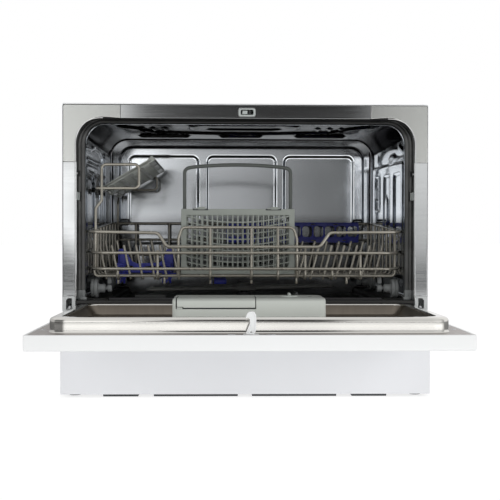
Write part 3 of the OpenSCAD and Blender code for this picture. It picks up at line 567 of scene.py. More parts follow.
def setup_stage():
    sc = bpy.context.scene
    yaw, pitch, roll = -0.0257, -0.0123, 0.0015
    f = np.array([-sin(yaw) * cos(pitch), cos(yaw) * cos(pitch), sin(pitch)])
    r0 = np.array([cos(yaw), sin(yaw), 0.0]); u0 = np.cross(r0, f)
    r = r0 * cos(roll) + u0 * sin(roll); u = -r0 * sin(roll) + u0 * cos(roll)
    cam = bpy.data.cameras.new("camera"); cam.lens = 72.83; cam.sensor_width = 36; cam.clip_start = 0.05; cam.clip_end = 60
    o = bpy.data.objects.new("camera", cam); sc.collection.objects.link(o)
    M = Matrix.Identity(4)
    for i in range(3):
        M[i][0], M[i][1], M[i][2] = r[i], u[i], -f[i]
    M[0][3], M[1][3], M[2][3] = -0.03289, -1.51747 - YC / 1000, 0.23715
    o.matrix_world = M
    sc.camera = o
    sc.view_settings.view_transform = "Standard"
    sc.view_settings.look = "None"
    # floor
    me = bpy.data.meshes.new("floor"); bm = bmesh.new()
    bmesh.ops.create_grid(bm, x_segments=2, y_segments=2, size=30); bm.to_mesh(me); bm.free()
    fl = bpy.data.objects.new("floor", me); sc.collection.objects.link(fl)
    fm = bpy.data.materials.new("floor_white"); fm.use_nodes = True
    p = fm.node_tree.nodes["Principled BSDF"]
    p.inputs["Base Color"].default_value = (0.30, 0.30, 0.30, 1); p.inputs["Roughness"].default_value = 0.7
    socket(p, "Specular IOR Level", "Specular").default_value = 0.15
    p.inputs["Emission Color"].default_value = (1, 1, 1, 1); p.inputs["Emission Strength"].default_value = 0.80
    me.materials.append(fm)
    fl.visible_glossy = False
    # studio: white all round, softboxes left and right of the camera, darker between and above them
    w = bpy.data.worlds.new("studio"); sc.world = w; w.use_nodes = True
    nt = w.node_tree; N = nt.nodes; L = nt.links
    for x in list(N):
        N.remove(x)
    out = N.new("ShaderNodeOutputWorld"); bg = N.new("ShaderNodeBackground")
    L.new(bg.outputs[0], out.inputs[0])
    tc = N.new("ShaderNodeTexCoord"); sp = N.new("ShaderNodeSeparateXYZ"); L.new(tc.outputs["Generated"], sp.inputs[0])

    def math_(op, a, b=None, clampit=False):
        n = N.new("ShaderNodeMath"); n.operation = op; n.use_clamp = clampit
        for i, q in enumerate((a, b)):
            if q is None:
                continue
            if isinstance(q, (int, float)):
                n.inputs[i].default_value = q
            else:
                L.new(q, n.inputs[i])
        return n.outputs[0]

    def step(x, lo, hi, a=0.0, b=1.0):
        n = N.new("ShaderNodeMapRange"); n.interpolation_type = "SMOOTHSTEP"
        n.inputs[1].default_value, n.inputs[2].default_value, n.inputs[3].default_value, n.inputs[4].default_value = lo, hi, a, b
        L.new(x, n.inputs[0]); return n.outputs[0]

    X, Y, Z = sp.outputs
    az = math_("ARCTAN2", X, math_("MULTIPLY", Y, -1.0))       # 0 towards the camera side, left is negative
    azd = math_("MULTIPLY", az, 180 / pi); eld = math_("MULTIPLY", math_("ARCSINE", Z), 180 / pi)
    add = lambda *q: q[0] if len(q) == 1 else math_("ADD", q[0], add(*q[1:]))
    mul = lambda *q: q[0] if len(q) == 1 else math_("MULTIPLY", q[0], mul(*q[1:]))
    inv = lambda q: math_("SUBTRACT", 1.0, q)
    front = step(Y, -0.12, 0.12, 1.0, 0.0)
    high = step(eld, 4.6, 6.0, 0.0, 1.0); low_ = step(eld, -3.9, -3.3, 1.0, 0.0)
    belt = mul(step(eld, 2.2, 3.4, 0.0, 1.0), step(eld, 4.8, 5.8, 1.0, 0.0))
    # what the steel mirrors: softboxes left and right of the camera, a dim wall between them, the table below
    azs = add(azd, mul(belt, -1.0))
    left = add(mul(high, step(azd, -6.2, -4.4, 1.0, 0.0)), mul(inv(high), step(azs, -9.2, -6.6, 1.0, 0.0)))
    right = add(mul(high, step(azd, 7.0, 11.0, 0.0, 1.0)), mul(inv(high), step(azd, 6.9, 9.6, 0.0, 1.0)))
    mid = math_("SUBTRACT", 1.0, math_("MAXIMUM", left, right), True)
    azc = add(azd, 1.2)
    glow = math_("POWER", 2.718, mul(-0.037, azc, azc))
    belt0 = mul(step(eld, -1.5, -0.8, 0.0, 1.0), step(eld, 0.4, 0.9, 1.0, 0.0))
    dimh = add(0.040, mul(0.035, step(azd, -4.5, 1.5, 1.0, 0.0)), mul(0.08, step(azd, -5.5, -2.2, 1.0, 0.0)))
    dim = add(mul(high, dimh), mul(inv(high), add(0.05, mul(0.43, glow), mul(belt0, step(azd, -5.6, -2.0, 2.3, 0.0)))))
    lv = add(1.62, mul(step(eld, -3.9, -3.2), -1.55), mul(step(eld, -2.2, -0.7), 0.20), mul(step(eld, -0.7, 0.40), 1.22), mul(step(eld, 3.4, 4.6), -0.58))
    rv = add(1.58, mul(step(eld, -3.9, -3.2), -1.40), mul(step(eld, -2.3, -0.2), 0.50), mul(step(eld, -0.2, 4.4), 0.22), mul(step(eld, 4.8, 6.6), -0.24))
    vl = mul(left, lv, step(azd, -40, -19, 0.20, 1.0))
    vr = mul(right, rv, step(azd, 12, 40, 1.0, 1.15), step(azd, 62, 96, 1.0, 0.35))
    low = add(mul(mid, add(mul(inv(low_), dim), mul(low_, 1.46))), math_("MAXIMUM", vl, vr))
    up = step(eld, 18, 46, 0.0, 1.0)
    fr = add(mul(low, inv(up)), mul(up, 0.80))
    side = step(X, -0.25, 0.25, 1.0, 0.0)
    bk = mul(step(eld, -5, 1, 0.24, 1.0), add(mul(step(eld, 14, 34, 1.0, 0.0), add(mul(side, 0.56), mul(inv(side), 0.92))), mul(step(eld, 14, 34, 0.0, 1.0), add(mul(side, 0.80), mul(inv(side), 0.95)))))
    gl = add(mul(front, fr), mul(inv(front), bk))
    # what lights the matt parts: mostly from the front, little from above
    df = add(mul(step(Y, -0.5, 0.5, 1.0, 0.0), DIFF[0]), mul(step(Y, -0.5, 0.5, 0.0, 1.0), DIFF[1]))
    df = add(mul(df, step(eld, 20, 62, 1.0, 0.0)), mul(step(eld, 20, 62, 0.0, 1.0), DIFF[2]))
    df = mul(df, step(azd, -80, 80, 0.94, 1.06))
    lp = N.new("ShaderNodeLightPath")
    cr = lp.outputs["Is Camera Ray"]
    isd = lp.outputs["Is Diffuse Ray"]
    val = add(mul(df, isd), mul(gl, inv(isd)))
    val = add(mul(val, inv(cr)), cr)
    L.new(val, bg.inputs["Strength"])
    bg.inputs["Color"].default_value = (1.0, 1.0, 1.0, 1)
    if hasattr(w, "cycles"):
        w.cycles.sampling_method = "NONE"

    def area(name, loc, target, size, power, col=(1, 1, 1)):
        l = bpy.data.lights.new(name, "AREA"); l.shape = "RECTANGLE"; l.size, l.size_y = size; l.energy = power; l.color = col
        q = bpy.data.objects.new(name, l); sc.collection.objects.link(q)
        q.location = loc
        d = Vector(target) - Vector(loc)
        q.rotation_euler = d.to_track_quat("-Z", "Y").to_euler()
        q.visible_glossy = False
        return q
    area("softbox_left", (-1.5, -2.1, 1.2), (0, 0, 0.2), (0.9, 1.3), LAMPS[0])
    area("softbox_right", (1.9, -2.0, 1.1), (0, 0, 0.2), (0.7, 1.2), LAMPS[1])

DIFF = (1.08, 0.85, 0.33)      # front, back and top of the matt light
LAMPS = (4.0, 9.0)
setup_stage()

# ------------------------------------------------------------------ cabinet

OHW, OTOP, OR = 254.0, 417.6, 40.0


def thin(n, q):
    """the seal is narrower along the top of the opening"""
    return q * (1 - 0.24 * max(0.0, n[1]) ** 2) if q < -0.5 else q


def cabinet_front():
    g = Geo()
    slot = rrect(-11.6, 418.0, 14.4, 431.0, 3.4, 5)
    plate(g, rrect(-187.7, 415.7, 187.7, 435.1, 0.4, 2), [slot], 0.0, 1.0, 0.22)
    g.obj("top_strip_sheet", FRAME, "cabinet", "top_frame_strip", "frame_steel")
    g = Geo()
    for s in (1, -1):
        a = [(214 + OR * cos(t), 377.6 + OR * sin(t)) for t in np.linspace(0, pi / 2, 22)]
        out = [(188.3, 435.1)] + [(188.3, 415.9)] + [(p[0] + 1.0 * (p[0] - 214) / -OR * 0, p[1]) for p in a[::-1]] + [(OHW, 350.3)] + [(273.2, 350.3)]
        out += [(273.2 - 3 + 3 * cos(t), 432.1 + 3 * sin(t)) for t in np.linspace(0, pi / 2, 6)]
        L = np.array(out)
        L[:, 0] *= s
        plate(g, L, [], 0.0, 1.0, 0.35)
    g.obj("corner_plate_sheet", FRAMEC, "cabinet", "frame_corner_plates", "frame_steel")
    g = Geo()
    for s in (1, -1):
        L = rrect(253.2, 149.7, 273.2, 349.7, 0.3, 2); L[:, 0] *= s
        plate(g, L, [], 0.0, 1.0, 0.35)
        # points along the sheet's folded inner edge, which are not built
        L2 = [(s * 253.6, 0.9 + 0.0, 150), (s * 253.6, 0.9, 349.5)]
    g.obj("side_strip_sheet", FRAME, "cabinet", "side_frame_strips", "frame_steel")

    # bright rolled lip round the opening, and the tunnel behind it
    g = Geo()
    pth, nrm = upath(OHW, OTOP, OR, 142.4, 26)
    prof = [(2.0, 1.15), (1.9, 0.1), (1.55, -0.28), (1.0, -0.42), (0.45, -0.28), (0.1, 0.2), (0.0, 1.0), (0.0, 6.0), (0.0, 19.0), (0.0, 31.0),
            (-2.0, 31.2), (-9.3, 31.2), (-10.2, 31.5), (-10.5, 32.2), (-10.2, 33.2)]
    # along the top the lip lies behind the strip's lower edge
    V = np.array([[(p[0] + n[0] * thin(n, q[0]), q[1] + 1.5 * max(0, n[1]) ** 8 * (q[1] < 3), p[1] + n[1] * thin(n, q[0]) - 2.6 * max(0, n[1]) ** 8 * (q[0] > -1)) for q in prof] for p, n in zip(pth, nrm)])
    grid(g, V)
    # painted shade: the straight run along the top gets the black rubber finish, standing in for the shade under the
    # top strip
    P = np.concatenate(g.v)
    g.m = [1 if abs(P[list(f)][:, 0].mean()) < 211 and P[list(f)][:, 2].mean() > 400 else k for f, k in zip(g.f, g.m)]
    # sill between the two sides
    xs = np.linspace(-OHW, OHW, 120)
    g.obj("tub_front_lip", [LIP, RUBBER], "cabinet", (), "tub_steel", sharp=60, recalc=False)
    g = Geo()
    pr = [(1.2, 138.2), (1.25, 141.2), (1.6, 142.1), (2.6, 142.4), (7.0, 142.4), (19.0, 142.4), (30.0, 142.4), (32.0, 141.8), (33.0, 140.4)]
    V = np.array([[(x, q[0], q[1]) for q in pr] for x in xs])
    grid(g, V)
    # painted shade: the sill takes the near-black finish
    g.obj("tub_sill", SILL_SHADE, "cabinet", (), "tub_steel", sharp=60, recalc=False)


def upath(hw, top, r, zb, n=20, step=6.0):
    """the opening's outline from lower left over the top to lower right, with outward normals"""
    p, m = [], []
    k = int((top - r - zb) / step)
    for z in np.linspace(zb, top - r, k + 1):
        p.append((-hw, z)); m.append((-1, 0))
    for t in np.linspace(pi, pi / 2, n + 1)[1:]:
        p.append((-hw + r + r * cos(t), top - r + r * sin(t))); m.append((cos(t), sin(t)))
    k = int((2 * hw - 2 * r) / step)
    for x in np.linspace(-hw + r, hw - r, k + 1)[1:]:
        p.append((x, top)); m.append((0, 1))
    for t in np.linspace(pi / 2, 0, n + 1)[1:]:
        p.append((hw - r + r * cos(t), top - r + r * sin(t))); m.append((cos(t), sin(t)))
    k = int((top - r - zb) / step)
    for z in np.linspace(top - r, zb, k + 1)[1:]:
        p.append((hw, z)); m.append((1, 0))
    return np.array(p), np.array(m)


LIP = F_("rolled_lip_steel", (0.74, 0.745, 0.75), 0.16, metal=1.0, var=0.03, bump=0.004, bscale=300, wave=0.06, wscale=20)
# painted shade: a greyer, bluer copy of the white finish for the front panel, which lies in the door's shadow
KICK_SHADE = F_("kick_paint_shaded", (0.745, 0.752, 0.775), 0.34, var=0.012, vscale=6, rvar=0.04, bump=0.006, bscale=600, coat=0.2, coat_rough=0.2)
# painted shade: the steel sill is drawn near-black and without metal, standing in for the dark it mirrors
SILL_SHADE = F_("sill_steel_shaded", (0.016, 0.016, 0.015), 0.45, metal=0.0, var=0.06, bump=0.002, bscale=300, wave=0.05, wscale=14)
CLIPG = F_("clip_grey", (0.40, 0.43, 0.42), 0.45, var=0.05, bump=0.01, bscale=900)


def gasket():
    g = Geo()
    pth, nrm = upath(OHW, OTOP, OR, 156.0, 26, 4.0)
    prof = [(-0.06, 22.0), (-0.5, 20.2), (-1.6, 19.5), (-3.0, 19.6), (-3.9, 20.6), (-4.3, 22.4), (-4.75, 22.5), (-5.1, 21.0), (-6.2, 20.3),
            (-8.2, 20.4), (-9.5, 21.2), (-10.2, 22.8), (-10.38, 26.0), (-10.2, 29.5), (-9.4, 30.9), (-6.0, 30.95), (-0.3, 30.9), (-0.06, 27.0)]
    n, k = len(pth), len(prof)
    V = np.array([[(p[0] + m[0] * thin(m, q[0]), q[1], p[1] + m[1] * thin(m, q[0])) for q in prof] for p, m in zip(pth, nrm)]).reshape(-1, 3)
    F = [(i * k + j, i * k + (j + 1) % k, (i + 1) * k + (j + 1) % k, (i + 1) * k + j) for i in range(n - 1) for j in range(k)]
    F += [tuple(range(k - 1, -1, -1)), tuple((n - 1) * k + j for j in range(k))]
    g.add(V, F)
    g.obj("gasket_profile", GASKET, "cabinet", "door_gasket", "black_rubber", sharp=50)
    # thin light edge of the tub lip inside the gasket
    g = Geo()
    prof = [(-10.45, 24.0), (-10.95, 23.6), (-11.2, 24.2), (-11.2, 31.0), (-10.5, 31.6)]
    pth, nrm = upath(OHW, OTOP, OR, 156.0, 26, 6.0)
    V = np.array([[(p[0] + m[0] * thin(m, q[0]), q[1], p[1] + m[1] * thin(m, q[0])) for q in prof] for p, m in zip(pth, nrm)])
    grid(g, V)
    g.obj("gasket_inner_edge", TUB, "cabinet", (), "tub_steel", sharp=60, recalc=False)
    # plastic ends of the gasket at the sill
    g = Geo()
    for s in (1, -1):
        rblock(g, (s * 243.4, 18.6, 142.7), (s * 253.8, 31.2, 157.2), 1.2)
        rblock(g, (s * 240.8, 14.5, 142.6), (s * 250.0, 24.0, 146.9), 0.9)
        rblock(g, (s * 246.0, 16.6, 149.0), (s * 248.2, 18.8, 153.6), 0.5)
    g.obj("gasket_end_blocks", GREY, "cabinet", (), "grey_plastic")
    # retaining tabs over the gasket
    g = Geo()
    for x in (-171, -57, 59.2, 173.7):
        rblock(g, (x - 3.4, 17.0, 415.9), (x + 3.4, 21.0, 417.5), 0.4)
    g.obj("gasket_tabs", BARE, "cabinet", (), "bare_steel")
    # wedges at the sides of the opening
    g = Geo()
    for s, dz in ((-1, 0.0), (1, 0.6)):
        rblock(g, (s * 252.5, 6.5, 293.2 + dz), (s * 253.95, 18.0, 305.2 + dz), 0.6, mat=0)
        rblock(g, (s * 250.9, 19.4, 293.2 + dz), (s * 253.95, 23.0, 305.2 + dz), 0.7, mat=0)
        rblock(g, (s * 249.3, 19.4, 291.8 + dz), (s * 251.4, 23.6, 306.4 + dz), 0.6, mat=1)
        rblock(g, (s * 252.5, 10.0, 329.0), (s * 253.95, 17.0, 338.6), 0.6, mat=1)
        rblock(g, (s * 250.4, 19.4, 329.0), (s * 253.95, 23.0, 338.6), 0.7, mat=1)
        rblock(g, (s * 252.6, 8.8, 332.0), (s * 253.9, 10.2, 334.6), 0.3, mat=2)
    g.obj("gasket_side_clips", [CLIPG, RUBBER, BARE], "cabinet", (), "grey_plastic")
    # sill seal: a soft lip
    g = Geo()
    x = np.linspace(-205.8, 205.8, 90)
    prof = [(7.1, 142.5), (7.05, 144.6), (7.8, 146.0), (9.4, 146.55), (11.0, 146.2), (12.2, 145.0), (12.9, 143.4), (12.9, 142.5)]
    V = np.array([[(a, q[0], q[1]) for q in prof] for a in x]).reshape(-1, 3)
    k = len(prof); n = len(x)
    F = [(i * k + j, i * k + (j + 1) % k, (i + 1) * k + (j + 1) % k, (i + 1) * k + j) for i in range(n - 1) for j in range(k)]
    F += [tuple(range(k)), tuple((n - 1) * k + j for j in range(k))]
    g.add(V, F)
    g.obj("sill_seal_lip", RUBBER, "cabinet", "sill_seal", "black_rubber")


def emb_wall_right(y, z):
    """pressed shapes of a side wall; y is the depth and z the height"""
    h = np.zeros(np.broadcast(y, z).shape)
    # raised field with a slanted top, and three upright ribs sunk into it
    top = 355.6 + (y - 60) * 0.028
    fr = np.minimum(np.minimum(y - 34, 349 - y), np.minimum(top - z, z - 176))
    h += 3.2 * smooth(0.5 + fr / 4.5)
    for y0, y1, zt, zb in ((253, 325, 346, 286), (153, 228, 342, 236), (54, 128, 339, 236)):
        h -= 3.0 * raised(sd_rr(y, z, y0 + 3, zb, y1 - 3, zt, 9), 4.5)
    h += 2.0 * raised(sd_rr(y, z, 311, 303, 321, 329, 5), 3.0)
    h += 2.6 * raised(sd_rr(y, z, 188, 254, 214, 306, 13), 5.0)
    # upper figures
    h += 2.2 * raised(sd_line(y, z, [(300, 372), (292, 401), (300, 412), (250, 412.5), (60, 409.5)]) - 2.2, 3.5)
    h += 2.4 * raised(sd_line(y, z, [(40, 396), (110, 396.5), (160, 398.5), (196, 407)]) - 3.2, 4.0)
    h += 2.2 * raised(sd_line(y, z, [(36, 391), (94, 386), (52, 373)]) - 2.6, 3.6)
    h += 2.6 * raised(np.hypot((y - 150) / 34, (z - 366) / 6.5) * 6 - 6, 3.5)
    h += 2.0 * raised(sd_line(y, z, [(120, 366), (80, 361), (40, 361)]) - 2.0, 3.5)
    return h


def emb_wall_left(y, z):
    h = np.zeros(np.broadcast(y, z).shape)
    h += 2.6 * raised(sd_line(y, z, [(40, 390), (95, 387), (150, 386), (200, 394), (262, 404), (278, 414)]) - 2.4, 4.0)
    h += 2.6 * raised(sd_line(y, z, [(40, 374), (100, 377), (150, 386), (205, 383), (243, 374), (252, 352), (254, 190)]) - 2.4, 4.0)
    h += 2.2 * raised(sd_line(y, z, [(60, 401), (120, 404), (176, 409)]) - 2.4, 3.6)
    h += 2.6 * raised(sd_line(y, z, [(60, 358), (150, 358.5), (226, 362)]) - 2.2, 3.6)
    top = 349.0 + (y - 60) * 0.02
    fr = np.minimum(np.minimum(y - 34, 236 - y), np.minimum(top - z, z - 176))
    h += 2.8 * smooth(0.5 + fr / 4.5)
    for y0, y1 in ((50, 128), (146, 222)):
        h -= 2.6 * raised(sd_rr(y, z, y0, 232, y1, 338, 9), 4.5)
    fr = sd_rr(y, z, 272, 178, 352, 400, 14)
    h += 2.6 * raised(fr, 4.5)
    return h


def emb_ceiling(x, y):
    h = np.zeros(np.broadcast(x, y).shape)
    for x0, x1, y0, y1 in ((-184, -96, 292, 326), (-40, 34, 292, 326), (96, 184, 292, 326)):
        h += 4.0 * raised(sd_rr(x, y, x0, y0, x1, y1, 16), 7.0)
    for x0 in (-172, -152, -132, 124, 144, 164):
        h += 2.4 * raised(sd_line(x, y, [(x0, 176), (x0 + 2, 206)]) - 3.0, 5.0)
    h += 3.0 * raised(sd_line(x, y, [(-205, 150), (-178, 184), (-150, 240), (-60, 262), (0, 266), (60, 262), (150, 240), (178, 184), (205, 150)]) - 4.0, 6.0)
    h += 2.5 * raised(sd_rr(x, y, -90, 120, 90, 210, 30), 8.0)
    h -= 2.0 * raised(sd_rr(x, y, -60, 140, 60, 190, 20), 7.0)
    return h


def emb_back(x, z):
    h = 2.6 * raised(sd_rr(x, z, -227.8, 190, 228.4, 406, 25), 4.0)
    for x0, x1 in ((-210, -81.5), (-64.2, 63.6), (79.8, 209)):
        h -= 2.6 * raised(sd_rr(x, z, x0, 180, x1, 388.8, 11), 5.0)
    h = np.maximum(h, 0)
    # the four legs of the frame end in small feet
    h = h * smooth((z - 262) / 5.0)
    for xc in (-219, 219):
        h += 3.2 * raised(sd_rr(x, z, xc - 8.5, 262.0, xc + 8.5, 270.0, 3.5), 2.4)
    for xc in (-72.8, 71.7):
        h += 2.2 * raised(sd_rr(x, z, xc - 8.0, 236.0, xc + 8.0, 268.0, 5.5), 3.0)
    # wide shallow field low on the wall
    h += 1.8 * raised(sd_rr(x, z, -205, 168, 205, 226, 14), 4.0)
    return h


def lean(z):
    """how far the back wall comes forward near the top: it is drawn with a little draft"""
    return 0.0384 * 6 * np.log1p(np.exp(np.clip((z - 358) / 6, -40, 40)))


def paint_shade_by_height(m, z0, z1, k):
    """painted shade: the colour of a material falls to k of itself between the heights z0 and z1 (metres)"""
    nt = m.node_tree; p = nt.nodes["Principled BSDF"]; inp = p.inputs["Base Color"]
    src = inp.links[0].from_socket
    tc = nt.nodes.new("ShaderNodeTexCoord"); sp = nt.nodes.new("ShaderNodeSeparateXYZ")
    nt.links.new(tc.outputs["Object"], sp.inputs[0])
    r = nt.nodes.new("ShaderNodeMapRange"); r.interpolation_type = "SMOOTHSTEP"
    for i, q in enumerate((z0, z1, 1.0, k)):
        r.inputs[i + 1].default_value = q
    nt.links.new(sp.outputs[2], r.inputs[0])
    v = nt.nodes.new("ShaderNodeVectorMath"); v.operation = "SCALE"
    nt.links.new(src, v.inputs[0]); nt.links.new(r.outputs[0], v.inputs[3]); nt.links.new(v.outputs[0], inp)


def tub():
    # painted shade: the upper walls darken towards the unlit ceiling
    paint_shade_by_height(TUB, 0.366, 0.389, 0.55)
    # painted shade and painted reflection: the back wall darkens low down, where the rack shades it and is mirrored in
    # it
    paint_shade_by_height(TUBB, 0.286, 0.262, 0.50)
    # painted shade: the gasket darkens along the top of the opening
    paint_shade_by_height(GASKET, 0.384, 0.404, 0.20)
    Rb_top, Rc = 2.6, 34.0
    pts = [(-204, 131.6), (-211, 131.6), (-211, 142.6), (-246, 142.6), (-246, 421), (246, 421), (246, 142.6), (211, 142.6), (211, 131.6), (204, 131.6)]
    P = path_round([(a, b, 0) for a, b in pts], [0, 3.5, 3.5, 9, Rc, Rc, 9, 3.5, 3.5, 0], 12)
    P = resample(P, 2.6)[:, :2]
    T = np.gradient(P, axis=0); T /= np.linalg.norm(T, axis=1)[:, None]
    Nn = np.stack([T[:, 1], -T[:, 0]], 1)                     # towards the cavity
    # the fillet into the back wall is wide above and small by the floor
    rb = 4 + (Rb_top - 4) * smooth((P[:, 1] - 150) / 60)
    ys = list(np.arange(32.2, 379, 2.6))
    nth = 14
    net = np.zeros((len(P), len(ys) + nth + 8, 3))
    for i, ((x, z), n, R) in enumerate(zip(P, Nn, rb)):
        yy = np.concatenate([ys, np.linspace(ys[-1], 385 - R, 9)[1:]])
        inw = np.zeros(len(yy))
        th = np.linspace(0, pi / 2, nth + 1)[1:]
        yy = np.concatenate([yy, 385 - R + R * np.sin(th)]); inw = np.concatenate([inw, R * (1 - np.cos(th))])
        fade = smooth((yy - 36) / 8) * smooth((385 - R - yy) / 10)
        if x < -245.5: h = emb_wall_left(yy, np.full(len(yy), z))
        elif x > 245.5: h = emb_wall_right(yy, np.full(len(yy), z))
        elif z > 420.5: h = emb_ceiling(np.full(len(yy), x), yy)
        else: h = np.zeros(len(yy))
        edge = smooth((z - 150) / 8) * smooth((421 - Rc - z) / 5) if abs(x) > 245.5 else (smooth((246 - Rc - abs(x)) / 6) if z > 420.5 else 0)
        d = inw + h * fade * edge
        net[i, :, 0] = x + n[0] * d; net[i, :, 1] = yy; net[i, :, 2] = z + n[1] * d
    net[:, :, 1] -= lean(net[:, :, 2]) * smooth((net[:, :, 1] - 366) / 12)
    g = Geo()
    grid(g, net)
    o = g.obj("tub_walls", [TUB, CEIL_SHADE, FLOOR_SHADE], "cabinet", "tub", "tub_steel", sharp=70, recalc=False, solid=0.8)
    # painted shade: the ceiling and the lowest strip of the walls take the darker copies of the steel
    for p in o.data.polygons:
        z = p.center[2]
        p.material_index = 1 if z > 0.3890 else 2 if z < 0.1465 else 0
    # back wall
    xs = np.arange(-240, 240.1, 1.45); zs = np.arange(131.6, 420, 1.45)
    X, Z = np.meshgrid(xs, zs, indexing="ij")
    H = emb_back(X, Z)
    V = np.stack([X, 385 - H - lean(Z), Z], -1)
    R = 4 + (Rb_top - 4) * smooth((Z - 150) / 60)
    sd = sd_rr(X, Z, -246, 100, 246, 421, Rc) + R
    keep = np.maximum.reduce([sd[:-1, :-1], sd[1:, :-1], sd[1:, 1:], sd[:-1, 1:]]) < 3.0
    g = Geo(); grid(g, V, keep=keep)
    g.obj("tub_back_wall", TUBB, "cabinet", (), "tub_steel", sharp=70, recalc=False)
    # floor, dished towards the filter, with holes under the covers
    xs = np.arange(-205, 205.1, 2.5); ys = np.arange(32, 385.1, 2.5)
    X, Y = np.meshgrid(xs, ys, indexing="ij")
    d = np.hypot(X - 88, Y - 195)
    Z = 131.6 - 0.9 * smooth((110 - d) / 60) + 1.2 * smooth((np.abs(X) - 150) / 60)
    Z += 1.0 * raised(sd_rr(X, Y, -190, 250, -20, 350, 24), 6) * (1 - smooth((110 - d) / 40))
    cx, cy = (X[:-1, :-1] + X[1:, 1:]) / 2, (Y[:-1, :-1] + Y[1:, 1:]) / 2
    keep = (np.hypot(cx - 88, cy - 195) > 31) & (np.hypot(cx, cy - 195) > 13.5) & (np.hypot(cx + 150, cy - 96) > 27)
    g = Geo(); grid(g, np.stack([X, Y, Z], -1), keep=keep)
    # painted shade: the floor takes the darker copy of the steel
    g.obj("tub_floor", FLOOR_SHADE, "cabinet", (), "tub_steel", sharp=70, recalc=False)
    # ring of the hub, and the ring that the salt cap screws into
    g = Geo()
    lathe(g, [(12.2, 131.0), (17.5, 131.0), (18.4, 132.0), (17.6, 133.6), (13.0, 135.2), (12.2, 134.6)], (0, 195, 0))
    lathe(g, [(26.6, 131.0), (33.0, 131.0), (34.2, 132.2), (33.4, 134.2), (27.2, 134.4), (26.6, 133.8)], (-150, 96, 0))
    g.obj("tub_floor_rings", GREY, "cabinet", (), "grey_plastic")


def cabinet_shell():
    # side covers: one folded sheet each, with the notch the door swings into
    for s, nm, node in ((-1, "left_cover_sheet", "left_side_panel"), (1, "right_cover_sheet", "right_side_panel")):
        g = Geo()
        L = [(1.05, 126.2), (34, 126.2), (34, 90.8), (1.05, 90.8), (1.05, 9), (4, 6), (476, 6), (480, 10), (480, 432), (476, 436), (4, 436), (1.05, 433)]
        plate(g, np.array(L, float), [], 273.9 if s > 0 else -275.0, 275.0 if s > 0 else -273.9, 0.45, YZ)
        rblock(g, (s * 263, 479, 9), (s * 274.6, 480, 434), 0.4)
        rblock(g, (s * 268, 36, 5.0), (s * 274.6, 440, 5.95), 0.35)
        g.obj(nm, PAINT, "cabinet", node, "white_paint")
    g = Geo()
    plate(g, rrect(-275, 0.4, 275, 480, 5.5, 6), [], 436.2, 438.0, 0.85, XY, seg=4)
    g.obj("top_cover_sheet", PAINT, "cabinet", "top_panel", "white_paint")
    # back sheet with pressed ribs, louvres and the openings for valve, drain and cable
    g = Geo()
    holes = [circ(200, 92, 17), circ(140, 60, 10.5, 28), circ(-200, 60, 9, 28)]
    for i in range(7):
        holes.append(rrect(-60, 40 + i * 9, 40, 43.6 + i * 9, 1.75, 4))
    plate(g, rrect(-273.4, 9, 273.4, 434, 3, 3), holes, 477.8, 478.8, 0.3)
    for x in (-170, 0, 170):
        plate(g, rrect(x - 55, 150, x + 55, 400, 18, 6), [rrect(x - 46, 159, x + 46, 391, 12, 6)], 478.75, 479.7, 0.42, seg=3)
    g.obj("back_sheet", ZINC, "cabinet", "back_panel", "zinc_sheet")
    g = Geo()
    for x in (-268.6, 268.6):
        for z in (30, 150, 290, 415):
            lathe(g, [(0.01, 481.6), (1.6, 481.5), (3.0, 480.9), (3.4, 480.0), (0.01, 480.0)], (x, 0, z), "y", 16)
            rblock(g, (x - 2.0, 481.35, z - 0.35), (x + 2.0, 481.68, z + 0.35), 0.1)
    g.obj("cover_screws", BARE, "cabinet", (), "bare_steel")
    # lower front panel
    g = Geo()
    plate(g, rrect(-275, 4.3, 275, 98, [1.2] * 4, 4), [], -16.5, -14.5, 0.8, XZ, seg=4)
    for s in (1, -1):
        L = [(-15.6, 4.6), (0.9, 4.6), (0.9, 89.8), (-15.6, 89.8)]
        plate(g, np.array(L, float), [], 273.0 if s > 0 else -274.9, 274.9 if s > 0 else -273.0, 0.3, YZ)
    plate(g, rrect(-272.8, -14.6, 272.8, -1.2, 1.0, 3), [], 86.1, 87.9, 0.3, XY)
    # painted shade: the front panel takes the darker copy of the white finish
    g.obj("kick_panel", KICK_SHADE, "cabinet", "lower_front_panel", "white_plastic")
    # latch frame in the top strip
    g = Geo()
    plate(g, rrect(-11.2, 418.4, 14.1, 430.6, 3.2, 5), [rrect(-8.0, 421.0, 11.0, 428.6, 1.6, 4)], -0.5, 3.2, 0.6, XZ, seg=3, mat=0)
    rblock(g, (-26, 3.4, 418.8), (22, 5.0, 420.4), 0.3); rblock(g, (-26, 3.4, 429.6), (22, 30.6, 434.4), 0.5)
    rblock(g, (-26, 5.0, 418.8), (22, 30.6, 420.3), 0.3)
    rblock(g, (-26, 3.4, 419.0), (-23.6, 30.6, 434.2), 0.4); rblock(g, (19.2, 3.4, 419.0), (22, 30.6, 434.2), 0.4)
    rblock(g, (-26, 29.2, 419.0), (22, 30.7, 434.2), 0.4)
    rblock(g, (-5.6, 1.2, 422.2), (2.0, 7.5, 427.4), 0.5, mat=0)
    rblock(g, (4.4, 1.4, 421.6), (6.6, 6.0, 428.0), 0.4, mat=1)
    g.obj("latch_mouth", [CLIPG, DARK], "cabinet", "latch_housing", "white_plastic")
    g = Geo()
    rblock(g, (-20.2, 11.1, 421.3), (-8.6, 20.9, 428.7), 0.8)
    rblock(g, (-9.4, 9.6, 423.0), (-8.6, 12.0, 427.0), 0.3)
    g.obj("latch_catch_block", BARE, "catch", "latch_catch", "bare_steel")


